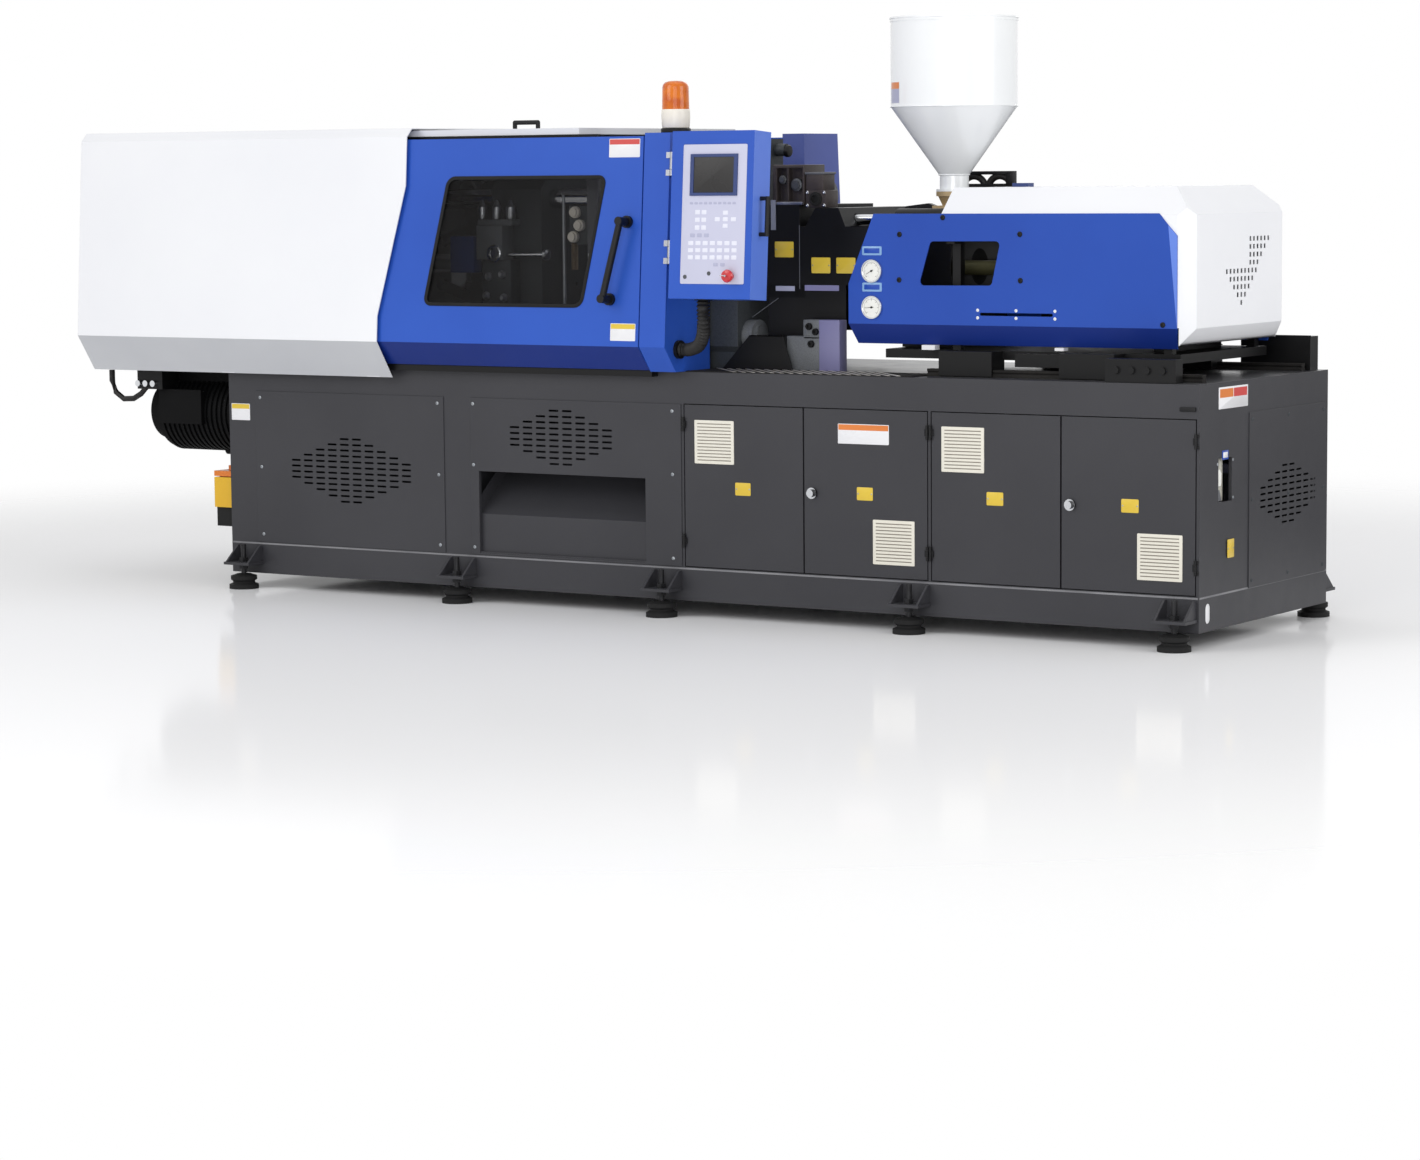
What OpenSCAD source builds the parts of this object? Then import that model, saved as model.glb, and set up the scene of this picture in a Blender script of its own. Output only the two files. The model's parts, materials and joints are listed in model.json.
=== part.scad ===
// Horizontal injection moulding machine with a five-point toggle clamp, about 130 tonnes.
// Millimetres, +Z up. X runs from the clamp end to the injection end, the operator stands at -Y.
// Inside the modules X = 0 is the base's left end, Y = 0 its front face and Z = 0 the floor;
// place() then moves everything so that the origin is under the middle of the whole machine.

/* [Machine base] */
// Length of the base
base_l = 4000; // [3960:5:4080]
// Depth of the base
base_w = 1000; // [980:2:1040]
// Height of the deck above the floor
deck_z = 850; // [840:1:870]
// Height of the base's underside above the floor
rail_z = 55; // [50:1:65]
// Height of the lower rail
rail_h = 116; // [105:1:125]
// Height of the plain band below the deck
band_h = 110; // [100:1:120]
// Wall thickness of the welded base
base_wall = 12; // [8:1:16]
// Left edge of the first cabinet door
cabinet_x = 2042; // [2036:1:2048]

/* [Clamp guards] */
// How far the clamp cover overhangs the base on the left
cover_hang = 632; // [600:1:660]
// Top of the clamp cover above the floor
cover_top = 1700; // [1690:1:1720]
// How far the fold of the cover stands in front of the base
cover_out = 130; // [125:1:150]
// Height of the fold above the deck
fold_h = 88; // [80:1:100]
// Clearance between the cover and the sliding doors
guard_gap = 15; // [12:1:18]
// Sheet thickness of all guards
sheet = 3; // [2:0.5:4]
// Right end of the sliding door
door_x1 = 1930; // [1925:1:1932]
// Length of the sliding door
door_l = 1140; // [1120:5:1160]

/* [Clamp unit] */
// Height of the tie-bar centre above the deck
axis_h = 355; // [350:1:370]
// Side of the square platens
platen_s = 640; // [630:2:650]
// Thickness of the fixed platen
fixed_t = 200; // [190:2:205]
// Thickness of the moving platen
moving_t = 220; // [200:2:230]
// Spacing of the tie bars, centre to centre
tie_pitch = 480; // [470:1:490]
// Diameter of the tie bars
tie_d = 70; // [60:1:75]
// Gap between the platens with the mould open
daylight = 630; // [620:2:640]
// Length of each toggle link, pin to pin
link_l = 230; // [225:1:232]
// Height of the link pins above the axis
pin_h = 270; // [266:1:272]
// Diameter of the toggle pins
pin_d = 44; // [38:1:48]
// Running clearance of pins, rods and bars, on the radius
fit = 0.05; // [0.03:0.01:0.08]

/* [Injection unit] */
// Width of the injection unit over its blue panels
unit_w = 760; // [740:2:780]
// Right end of the white shroud
shroud_x1 = 3905; // [3890:1:3920]
// Top of the white shroud
shroud_top = 1475; // [1465:1:1485]
// Diameter of the hopper
hopper_d = 434; // [400:2:460]
// Height of the hopper's straight part
hopper_h = 300; // [260:2:340]
// Diameter of the screw
screw_d = 40; // [36:1:45]
// Diameter of the barrel
barrel_d = 124; // [116:1:128]

/* [Control panel] */
// Width of the control box
box_w = 328; // [320:1:340]
// Height of the control box
box_h = 565; // [550:1:580]
// Depth of the control box
box_d = 104; // [95:1:110]

/* [Hidden] */
$fn = 48;

// A seated piece stands this far off the piece that carries it
seat = 0.3;

// Heights of the base
ledge_z = rail_z + rail_h;
band_z = deck_z - band_h;
deck_t = 20;
panel_z0 = ledge_z + 3;
panel_z1 = band_z - 2;
bay_depth = 470;
recess = 22;
door_t = 20;

// Bays of the base, left to right, and the cabinet doors
bay_a = [150, 985];
post_b = cabinet_x - 12;
bay_b = [1160, post_b - 150];
door_gap = 12;
door_pitch = (base_l - cabinet_x - door_gap - 10) / 4;
post_c = cabinet_x + 2 * door_pitch - 1;
drop_x = [1340, 1930];
drop_y = [330, 670];

// Guards
fold_z = deck_z + fold_h;
foot_z = deck_z - 45;
cover_t = 4;
cover_x0 = -cover_hang;
edge_hi = 920;
edge_lo = 805;
kink_hi = 1495;
kink_lo = 1030;
cover_foot_out = 40;
cover_top_out = cover_out - 50;
cover_bevel = 30;
door_out = cover_out - guard_gap;
door_top_out = cover_top_out - guard_gap;
door_foot_out = 45;
door_z0 = deck_z + 5;
door_z1 = cover_top - 41;
door_x0 = door_x1 - door_l;
column_x = door_x1 + 5;
column_w = 105;
rear_column_w = 92;
column_z1 = cover_top - 30;
rail_y = 36;
rail_top = cover_top - 60;

// Front door window, X and Z at the corners
window = [[1007, 1077], [1104, 1519], [1775, 1519], [1684, 1077]];
window_r = 26;
handle_hi = [1875, 1366];
handle_lo = [1810, 1100];
handle_out = 50;
handle_foot_r = 15;
handle_foot_l = handle_out + 13;

// Clamp axis and platen places
axis_y = base_w / 2;
axis_z = deck_z + axis_h;
half = platen_s / 2;
column_y1 = axis_y - half - 10;
fixed_x = column_x + 15;
fixed_x1 = fixed_x + fixed_t;
moving_x1 = fixed_x - daylight;
moving_x = moving_x1 - moving_t;
stroke = 360;
lug_l = 125;
pin_c_x = moving_x - lug_l;
open_span = 2 * link_l - stroke;
pin_a_x = pin_c_x - open_span;
open_angle = acos(open_span / (2 * link_l));
pin_b = [pin_a_x + link_l * cos(open_angle), pin_h - link_l * sin(open_angle)];
cross_arm = 110;
cross_l = 235;
cross_z = 80;
pin_d_pos = [pin_a_x + cross_arm * cos(open_angle), pin_h - cross_arm * sin(open_angle)];
pin_e_x = pin_d_pos[0] - sqrt(pow(cross_l, 2) - pow(pin_d_pos[1] - cross_z, 2));
cross_travel = pin_a_x + cross_arm - sqrt(pow(cross_l, 2) - pow(pin_h - cross_z, 2)) - pin_e_x;
pin_r = pin_d / 2;
eye_r = pin_r + 12;
link_y = 120;
link_w = 50;
fork_w = 20;
play = 1;
tail_t = 200;
tail_x1 = pin_a_x - 255;
tail_x = tail_x1 - tail_t;
tail_adjust = [130, 140];
ram_r = 25;
guide_r = 20;
guide_y = 195;
tie_r = tie_d / 2;
tie_x0 = tail_x - tail_adjust[0] - 60;
nut_t = 70;
shoe_h = deck_z + seat;

// Injection unit
unit_y0 = axis_y - unit_w / 2;
unit_y1 = axis_y + unit_w / 2;
panel_t = 4;
skin_y0 = unit_y0 + panel_t;
skin_y1 = unit_y1 - panel_t;
shroud_x0 = 2990;
shroud_z0 = 955;
shroud_z1 = shroud_top - 90;
shroud_cut = 90;
side_x0 = 2634;
throat_x = 2832;
house_x = 2740;
house_x1 = 2930;
slide_stroke = 190;
rod_y = 150;
rod_z = axis_z + 162;
rod_r = 18;
barrel_r = barrel_d / 2;
screw_r = screw_d / 2;
plate_z = deck_z + 55;
plate_t = 30;
hopper_z0 = 1461;
hopper_r = hopper_d / 2;
neck_r = 50;
neck_z = 1515;
cone_z = 1750;
hopper_z1 = cone_z + hopper_h;
hopper_t = 3;
rail_in = 115;
gauge_x = 2727;
gauge_z = [1198, 1076];

// Control box
box_x = column_x + column_w + 67;
lean = atan((cover_out - cover_top_out) / (door_z1 - fold_z));
box_z = column_z1 - box_h + 4;
box_y = -190;
hinge_x = column_x + column_w + 22;
stop_pos = [251, 77];
key_out = 60;

// Extent of the machine, for the origin
key_tip_y = box_y + (stop_pos[1] - 1.2) * sin(lean) - key_out * cos(lean);
rear_y = base_w + lean_out(handle_lo[1]) + handle_foot_l * cos(lean) + handle_foot_r * sin(lean);
end_x = base_l + sheet;
mid_x = (cover_x0 + end_x) / 2;
mid_y = (key_tip_y + rear_y) / 2;

// How far the leaning face of the doors stands in front of the base at height z
function lean_out(z) = door_top_out + (door_out - door_top_out) * (door_z1 - z) / (door_z1 - fold_z);

// The same outline on the far side of the machine
function far(p) = [for (i = [len(p) - 1 : -1 : 0]) [base_w - p[i][0], p[i][1]]];

// An outline grown or shrunk about its own middle by d each way
function middle(p) = [for (k = [0, 1]) (min([for (q = p) q[k]]) + max([for (q = p) q[k]])) / 2];
function grow(p, d) = [for (q = p) [q[0] + d * sign(q[0] - middle(p)[0]),
    q[1] + d * sign(q[1] - middle(p)[1])]];

// Corners of an outline turned into arcs of radius r
function unit(v) = v / norm(v);
function arc_corner(a, b, c, r) =
    let (u = unit(a - b), v = unit(c - b), half_turn = acos(u * v) / 2)
    let (m = b + unit(u + v) * r / sin(half_turn), s = b + u * r / tan(half_turn))
    let (e = b + v * r / tan(half_turn), a0 = atan2(s[1] - m[1], s[0] - m[0]))
    let (a1 = atan2(e[1] - m[1], e[0] - m[0]), d = ((a1 - a0 + 540) % 360) - 180)
    [for (k = [0 : 6]) m + r * [cos(a0 + d * k / 6), sin(a0 + d * k / 6)]];
function rounded(p, r) =
    let (n = len(p))
    [for (i = [0 : n - 1]) each arc_corner(p[(i + n - 1) % n], p[i], p[(i + 1) % n], r)];

module place() {
    translate([-mid_x, -mid_y, 0]) children();
}

// A (Y, Z) outline drawn out along X
module along_x(x, l) {
    translate([x, 0, 0]) rotate([90, 0, 90]) linear_extrude(l) children();
}

// An (X, Z) outline drawn out along Y
module along_y(y, l) {
    translate([0, y + l, 0]) rotate([90, 0, 0]) linear_extrude(l) children();
}

module box(x, y, z) {
    translate([x[0], y[0], z[0]]) cube([x[1] - x[0], y[1] - y[0], z[1] - z[0]]);
}

module rod_x(x, y, z, r) {
    translate([x[0], y, z]) rotate([0, 90, 0]) cylinder(h = x[1] - x[0], r = r);
}

module rod_y(x, y, z, r) {
    translate([x, y[0], z]) rotate([-90, 0, 0]) cylinder(h = y[1] - y[0], r = r);
}

// A round bar between two points
module bar(p, q, r) {
    v = q - p;
    translate(p) rotate([0, acos(v[2] / norm(v)), atan2(v[1], v[0])]) cylinder(h = norm(v), r = r);
}

// Both sides of the machine, the far one mirrored about its centre line
module both_sides() {
    children();
    translate([0, base_w, 0]) mirror([0, 1, 0]) children();
}

module far_side() {
    translate([0, base_w, 0]) mirror([0, 1, 0]) children();
}

// Louvre field: obround slots in columns that grow towards the middle
slot_w = 42;
slot_h = 7;
slot_px = 57;
slot_pz = 21;
module slot_field(cols) {
    for (i = [0 : cols - 1]) {
        rows = 4 + 2 * min(i, cols - 1 - i);
        for (k = [0 : rows - 1])
            translate([(i - (cols - 1) / 2) * slot_px, (k - (rows - 1) / 2) * slot_pz])
                obround(slot_w, slot_h);
    }
}

module obround(w, h) {
    square([w - h, h], center = true);
    for (s = [-1, 1]) translate([s * (w - h) / 2, 0]) circle(d = h, $fn = 16);
}

// Knuckle of a lift-off hinge, with the leaf that joins it to a flat face at y = 0
knuckle_r = 5;
pin_hinge_r = 2.5;
module knuckle(x, z, l, side) {
    rod = knuckle_r;
    translate([x, -rod - 1, z]) cylinder(h = l, r = rod, $fn = 24);
    box(side > 0 ? [x, x + 10] : [x - 10, x], [-rod - 1, 0.5], [z, z + l]);
}

// Hinge heights and axes of the cabinet doors: the left edge, or the right one
hinge_zs = [band_z - 95, ledge_z + 70];
function door_left(i) = cabinet_x + i * door_pitch + (i > 1 ? door_gap : 0) + 2;
function door_right(i) = door_left(i) + door_pitch - 6;
function hinged_left(i) = i % 2 == 0;
function hinge_at(i) = hinged_left(i) ? door_left(i) - 3 : door_right(i) + 3;

module hinge_pins() {
    for (i = [0 : 3], z = hinge_zs) {
        x = hinge_at(i);
        side = hinged_left(i) ? -1 : 1;
        for (k = [0, 36]) knuckle(x, z + k, 12, side);
        translate([x, -knuckle_r - 1, z]) cylinder(h = 48, r = pin_hinge_r, $fn = 24);
    }
}

module base_frame() {
    inner = base_w - base_wall;
    color([0.24, 0.25, 0.27]) place() {
        difference() {
            box([0, base_l], [0, base_w], [rail_z, deck_z]);
            // Hollow of the lower rail, open to the floor
            box([base_wall, base_l - base_wall], [base_wall, inner], [rail_z - 1, ledge_z]);
            // Front bays behind the panels and doors
            for (b = [[base_wall, bay_b[0] - 60], [bay_b[0] - 48, post_b - 12],
                    [post_b, post_c], [post_c + 12, base_l - base_wall]])
                box(b, [base_wall, bay_depth], [ledge_z + 10, deck_z - deck_t]);
            for (b = [bay_a, bay_b]) box(b, [-1, base_wall + 1], [ledge_z + 14, band_z - 14]);
            // Recess that the cabinet doors close
            for (b = [[door_left(0) - 4, door_right(1) + 4], [door_left(2) - 4, door_right(3) + 4]])
                box(b, [-1, recess], [ledge_z + 2, band_z]);
            for (i = [0, 2])
                box([door_left(i) + 14, door_right(i + 1) - 14], [-1, recess + 1],
                    [ledge_z + 14, band_z - 14]);
            // Oil tank and rear bays
            for (b = [[base_wall, 1060], [1072, post_b], [post_b + 12, base_l - base_wall]])
                box(b, [bay_depth + 10, inner], [ledge_z + 10, deck_z - deck_t]);
            for (b = rear_spans) box([b[0] + 40, b[1] - 40], [inner - 1, base_w + 1],
                [ledge_z + 40, band_z - 40]);
            // Parts drop from the mould through the deck
            box(drop_x, drop_y, [deck_z - deck_t - 1, deck_z + 1]);
            box([drop_x[0], drop_x[1]], [bay_depth - 1, drop_y[1]], [band_z, deck_z - deck_t - 1]);
            // Air opening behind the end panel, gauge recess and lifting slot
            box([base_l - base_wall - 1, base_l + 1], [base_w - 540, base_w - 120],
                [ledge_z + 60, band_z - 60]);
            box([base_l - base_wall - 1, base_l + 1], [139, 241], [464, 606]);
            translate([base_l - base_wall - 1, 66, rail_z + 58]) rotate([90, 0, 90])
                linear_extrude(base_wall + 2) rotate(90) obround(66, 34);
        }
        hinge_pins();
    }
}

// Levelling mounts under welded brackets, five along each side
feet_x = [90, 1085, 1970, 2960, base_l - 65];
foot_r = 55;
foot_y = -44;
module levelling_foot(x) {
    plate_z0 = rail_z + 35;
    difference() {
        box([x - 60, x + 60], [-88, -seat], [plate_z0, plate_z0 + 10]);
        translate([x, foot_y, plate_z0 - 1]) cylinder(h = 12, r = 11);
    }
    for (s = [-1, 1]) translate([x + s * 52 - 4, 0, 0])
        along_x(0, 8) polygon([[-84, plate_z0 + 9], [-seat, plate_z0 + 9], [-seat, ledge_z - 12],
            [-14, ledge_z - 12]]);
    // Two-disc rubber mount, bolt and lock nuts
    translate([x, foot_y, 0]) {
        rotate_extrude() polygon([[0, 0], [foot_r, 0], [foot_r, 16], [foot_r - 14, 22], [foot_r - 14, 28],
            [foot_r - 6, 34], [foot_r - 6, 48], [24, 56], [0, 56]]);
        translate([0, 0, 50]) cylinder(h = ledge_z - 56, r = 10);
        for (z = [plate_z0 - 16, plate_z0 + 10]) translate([0, 0, z]) cylinder(h = 16, r = 17, $fn = 6);
    }
}

module levelling_feet() {
    color([0.12, 0.12, 0.13]) place() both_sides() for (x = feet_x) levelling_foot(x);
}

// Sheet panels screwed to the base
module vent_panel() {
    color([0.26, 0.27, 0.29]) place() difference() {
        box([130, 1005], [-sheet, -seat], [panel_z0, panel_z1]);
        translate([0, 1, 0]) along_y(-sheet - 2, sheet + 2) translate([576, 455]) slot_field(10);
    }
}

chute_z = [180, 475];
chute_lip = 320;
module chute_panel() {
    color([0.26, 0.27, 0.29]) place() difference() {
        box([bay_b[0] - 35, post_b], [-sheet, -seat], [panel_z0, panel_z1]);
        box(bay_b, [-sheet - 1, 1], chute_z);
        translate([0, 1, 0]) along_y(-sheet - 2, sheet + 2) translate([(bay_b[0] + bay_b[1]) / 2, 606]) slot_field(8);
    }
}

// Folded chute that brings parts from under the mould to the front
module drop_chute() {
    x0 = bay_b[0] - 10;
    x1 = bay_b[1] + 10;
    y0 = base_wall + seat;
    chute_top = 690;
    foot = ledge_z + 10 + seat;
    color([0.3, 0.31, 0.33]) place() {
        along_x(x0, x1 - x0) polygon([[y0, foot], [y0, chute_lip], [bay_depth - 12, chute_top],
            [bay_depth - 12, chute_top - 6], [y0 + sheet, chute_lip - 4], [y0 + sheet, foot]]);
        for (x = [x0, x1 - sheet])
            along_x(x, sheet) polygon([[y0, chute_lip - 2], [bay_depth - 12, chute_top - 2],
                [bay_depth - 12, chute_top + 60], [y0, chute_lip + 60]]);
    }
}

module end_panel() {
    color([0.26, 0.27, 0.29]) place() {
        difference() {
            box([base_l + seat, base_l + sheet], [base_w - 632, base_w - 18], [panel_z0 - 8, panel_z1 + 4]);
            translate([base_l - 1, base_w - 325, 456]) rotate([90, 0, 90]) linear_extrude(sheet + 3)
                slot_field(8);
        }
        // Oil level gauge behind the recess
        translate([base_l - base_wall - 16, 190, 470]) {
            cylinder(h = 130, r = 13);
            translate([-4, -30, -6]) cube([8, 60, 142]);
        }
        box([base_l - base_wall - 20, base_l - base_wall - seat], [160, 220], [606, 612]);
    }
}

rear_spans = [[70, 1040], [1090, 2010], [2070, base_l - 70]];
module rear_panels() {
    color([0.26, 0.27, 0.29]) place() difference() {
        for (b = rear_spans) box(b, [base_w + seat, base_w + sheet], [panel_z0, panel_z1]);
        for (x = [555, 2600, base_l - 600])
            along_y(base_w - 1, sheet + 3) translate([x, 500]) slot_field(8);
    }
}

// Mounting plates in the cabinet with drive, breakers, contactors and transformer
module electrical_plate() {
    plate_y = bay_depth - 30;
    color([0.75, 0.76, 0.74]) place() {
        for (b = [[post_b + 40, post_c - 40], [post_c + 50, base_l - 60]]) {
            box(b, [plate_y, plate_y + sheet], [ledge_z + 40, band_z - 20]);
            for (x = [b[0] + 20, b[1] - 50])
                box([x, x + 30], [plate_y + sheet - 1, bay_depth - seat], [ledge_z + 60, band_z - 40]);
            for (k = [0 : 7]) {
                w = (b[1] - b[0] - 80) / 8;
                box([b[0] + 40 + k * w, b[0] + 40 + k * w + w - 10], [plate_y - 80, plate_y + 1],
                    [590, 690]);
            }
            for (z = [540, 330]) box([b[0] + 20, b[1] - 20], [plate_y - 60, plate_y + 1], [z, z + 30]);
        }
        box([post_b + 80, post_b + 380], [plate_y - 190, plate_y + 1], [370, 530]);
        box([post_b + 520, post_b + 760], [plate_y - 170, plate_y + 1], [230, 320]);
        for (k = [0 : 4])
            box([post_c + 90 + k * 130, post_c + 190 + k * 130], [plate_y - 110, plate_y + 1], [390, 510]);
        box([post_c + 120, post_c + 420], [plate_y - 150, plate_y + 1], [ledge_z + 50, 320]);
    }
}

// Servo pump under the overhang of the clamp, with its steel fittings and hose
pump_x = [-485, -30];
pump_y = [60, 380];
pump_z = [490, 790];
hose_route = [[-598, 20, 800], [-598, 20, 760], [-582, 22, 715], [-545, 25, 690], [-500, 30, 692],
    [-465, 35, 712], [-440, 40, 740]];
module pump_unit() {
    mid = (pump_y[0] + pump_y[1]) / 2;
    cz = (pump_z[0] + pump_z[1]) / 2;
    r = (pump_z[1] - pump_z[0]) / 2;
    color([0.06, 0.06, 0.07]) place() {
        // Round motor body with cooling ribs, end bell and terminal box
        rod_x([pump_x[0] + 60, pump_x[1]], mid, cz, r - 8);
        for (x = [pump_x[0] + 80 : 24 : pump_x[1] - 20]) rod_x([x, x + 12], mid, cz, r);
        rod_x([pump_x[0], pump_x[0] + 61], mid, cz, r - 40);
        box([pump_x[0] + 120, pump_x[1] - 30], [mid - 90, mid + 90], [cz, foot_z + 6 - seat]);
        box([pump_x[0] + 90, pump_x[0] + 300], [pump_y[0] - 6, mid], [cz - 40, cz + 90]);
        rod_x([-180, -130], mid - 20, pump_z[0] + 6, 18);
        // Valve manifold with fittings
        box([pump_x[0] + 6, pump_x[0] + 130], [pump_y[0] - 30, pump_y[0] + 60],
            [pump_z[1] - 60, foot_z + 6 - seat]);
        for (x = [-462, -425, -388]) rod_y(x, [10, pump_y[0]], 752, 12);
        sweep(hose_route, 11, 8);
    }
}

// A tube along a list of points, with rings square to the route
function ring(c, t, r, n) =
    let (a = unit(abs(t[2]) > 0.9 ? cross(t, [0, 1, 0]) : cross(t, [0, 0, 1])), b = cross(t, a))
    [for (k = [0 : n - 1]) c + r * (a * cos(360 * k / n) + b * sin(360 * k / n))];
function heading(p, i) = unit(p[min(i + 1, len(p) - 1)] - p[max(i - 1, 0)]);
module sweep(p, r, n) {
    m = len(p);
    pts = [for (i = [0 : m - 1]) each ring(p[i], heading(p, i), r, n)];
    sides = [for (i = [0 : m - 2], k = [0 : n - 1])
        [i * n + k, i * n + (k + 1) % n, (i + 1) * n + (k + 1) % n, (i + 1) * n + k]];
    ends = [[for (k = [n - 1 : -1 : 0]) k], [for (k = [0 : n - 1]) (m - 1) * n + k]];
    polyhedron(points = pts, faces = concat(sides, ends), convexity = 4);
}

// Grease pump on the left end of the base
lube_x = [-150, -seat];
lube_y = [80, 210];
module lubrication_unit() {
    color([0.93, 0.72, 0.08]) place() {
        box([lube_x[0] + 10, lube_x[1]], [lube_y[0] + 20, lube_y[1] - 20], [280, 420]);
        box([lube_x[0], -30], lube_y, [286, 400]);
        difference() {
            box([lube_x[0] + 6, -36], [lube_y[0] + 6, lube_y[1] - 6], [214, 287]);
            box([lube_x[0] + 9, -39], [lube_y[0] + 9, lube_y[1] - 9], [217, 290]);
        }
        box([lube_x[0], -40], lube_y, [404, 424]);
        rod_x([lube_x[0] + 30, -60], 145, 424, 14);
        for (x = [-120, -80]) translate([x, 145, 399]) cylinder(h = 42, r = 10);
    }
}

// Clamp cover: a folded shell that hangs over the end of the base
function cover_ring(t) = let (p = [
        [-cover_foot_out + t, foot_z - (t > 0 ? 1 : 0)],
        [-cover_out + t, fold_z],
        [-cover_top_out + t, cover_top - cover_bevel - t / 2],
        [-cover_top_out + cover_bevel + t / 2, cover_top - t]])
    concat(p, far(p));

module clamp_cover() {
    color([0.93, 0.94, 0.95]) place() {
        difference() {
            along_x(cover_x0, edge_hi - cover_x0) polygon(cover_ring(0));
            along_x(cover_x0 + cover_t, edge_hi - cover_x0) polygon(cover_ring(cover_t));
            // The open edge slants as the door window does
            along_y(-cover_out - 50, base_w + 2 * cover_out + 100) polygon([[edge_lo, foot_z - 10],
                [edge_lo, kink_lo], [edge_hi, kink_hi], [edge_hi, cover_top + 10],
                [edge_hi + 50, cover_top + 10], [edge_hi + 50, foot_z - 10]]);
        }
        // Tabs that hold the lower edge to the base
        both_sides() for (x = [4, 690])
            box([x, x + 60], [-cover_foot_out - 2, -seat], [foot_z + 1, foot_z + 7]);
    }
}

// Frame inside the guards: overhang beams and floor, posts, door rails
post_s = 40;
module guard_frame() {
    beam_top = deck_z + 40;
    beam_x0 = cover_x0 + 30;
    rail_in_y = rail_y - 22;
    color([0.2, 0.21, 0.23]) place() {
        both_sides() {
            along_y(90, 60) polygon([[beam_x0, foot_z + 10], [-seat, foot_z + 10], [-seat, deck_z + seat],
                [400, deck_z + seat], [400, beam_top], [beam_x0, beam_top]]);
            box([beam_x0, column_x - seat], [-rail_y, -rail_in_y], [rail_top - 40, rail_top]);
            box([20, column_x - seat], [-38, -seat], [deck_z - 18, door_z0 - 1]);
            for (x = [40, 700]) box([x, x + post_s], [-rail_in_y - 1, 26], [deck_z + seat, rail_top]);
            box([beam_x0, beam_x0 + post_s], [-rail_in_y - 1, 26], [foot_z + 10, rail_top]);
            // Ledge that the roof guard slides on
            box([beam_x0, 1700], [-rail_in_y - 1, 8], [rail_top - 1, cover_top - 31]);
        }
        for (x = [beam_x0, 40, 700])
            box([x, x + post_s], [-rail_in_y, base_w + rail_in_y], [rail_top - 40, rail_top]);
        box([beam_x0, beam_x0 + post_s], [20, base_w - 20], [foot_z + 10, beam_top]);
        // Floor of the overhang
        box([cover_x0 + cover_t + seat, -seat], [-30, base_w + 30], [foot_z + 6, foot_z + 10]);
    }
}

// Guard columns beside the fixed platen
module column(w) {
    top = column_z1;
    foot = deck_z + seat;
    difference() {
        along_x(column_x, w) polygon([[-door_foot_out, foot], [-door_out, fold_z],
            [-lean_out(top), top], [column_y1, top], [column_y1, foot]]);
        along_x(column_x + sheet, w - 2 * sheet) polygon([[-door_foot_out + sheet, foot - 1],
            [-door_out + sheet, fold_z], [-lean_out(top) + sheet, top - sheet],
            [column_y1 - sheet, top - sheet], [column_y1 - sheet, foot - 1]]);
    }
}

module front_column() {
    color([0.1, 0.25, 0.65]) place() {
        column(column_w);
        // Gland of the control box's conduit and the fixed hinge knuckles
        rod_x([column_x + column_w - 1, column_x + column_w + 12], conduit_in[1], conduit_in[2], 32);
        panel_hinges(false);
    }
}

module rear_column() {
    color([0.1, 0.25, 0.65]) place() far_side() column(rear_column_w);
}

// Toggle clamp
module tie_holes(x, l, r) {
    for (y = [-1, 1], z = [-1, 1])
        rod_x([x, x + l], axis_y + y * tie_pitch / 2, axis_z + z * tie_pitch / 2, r);
}

module platen_block(x, l) {
    c = 46;
    along_x(x, l) polygon([for (p = [[-1, -1], [1, -1], [1, 1], [-1, 1]]) each
        [for (q = (p[0] * p[1] > 0 ? [[0, c], [c, 0]] : [[c, 0], [0, c]]))
            [axis_y + p[0] * (half - q[0]), axis_z + p[1] * (half - q[1])]]]);
}

// Tapped holes of the mould face, from x towards dir
module mould_holes(x, dir) {
    for (y = [-175, -105, 105, 175], z = [-140, -70, 70, 140])
        rod_x([min(x, x + dir * 36), max(x, x + dir * 36)], axis_y + y, axis_z + z, 7);
}

module fixed_platen() {
    bush_z = axis_z + half + 85;
    color([0.45, 0.47, 0.5]) place() difference() {
        union() {
            platen_block(fixed_x, fixed_t);
            for (y = [-1, 1])
                box([fixed_x + 10, fixed_x1 - 10], [axis_y + y * 240 - 60, axis_y + y * 240 + 60],
                    [deck_z + seat, axis_z - half + 40]);
            box([fixed_x + 30, fixed_x1 - 70], [axis_y + 20, axis_y + 100], [axis_z + half - 1,
                bush_z + 40]);
        }
        tie_holes(fixed_x - 1, fixed_t + 2, tie_r + fit);
        rod_x([fixed_x - 1, fixed_x1 + 1], axis_y, axis_z, 40);
        rod_x([fixed_x - 1, fixed_x + 25], axis_y, axis_z, 62.5);
        rod_x([fixed_x + 60, fixed_x1 + 1], axis_y, axis_z, 100);
        rod_x([fixed_x, fixed_x1], axis_y + 60, bush_z, safety_r + 2 * fit);
        mould_holes(fixed_x - 1, 1);
    }
}

module tie_bars() {
    color([0.75, 0.76, 0.78]) place() {
        tie_holes(tie_x0, fixed_x1 + nut_t + 10 - tie_x0, tie_r);
        tie_holes(fixed_x1 + seat, nut_t, tie_r + 22);
    }
}

// A link in the X-Z plane: round eyes on two pins and a waist between them
module link_shape(p, q, r) {
    v = q - p;
    waist = 0.82 * r;
    translate(p) circle(r = r);
    translate(q) circle(r = r);
    translate(p) rotate(atan2(v[1], v[0])) translate([0, -waist]) square([norm(v), 2 * waist]);
}

// The two link planes of the clamp, left and right of the axis
module link_planes() {
    for (s = [-1, 1]) translate([0, axis_y + s * link_y, 0]) children();
}

pin_a = [pin_a_x, pin_h];
pin_c = [pin_c_x, pin_h];
pin_e = [pin_e_x, cross_z];

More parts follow.
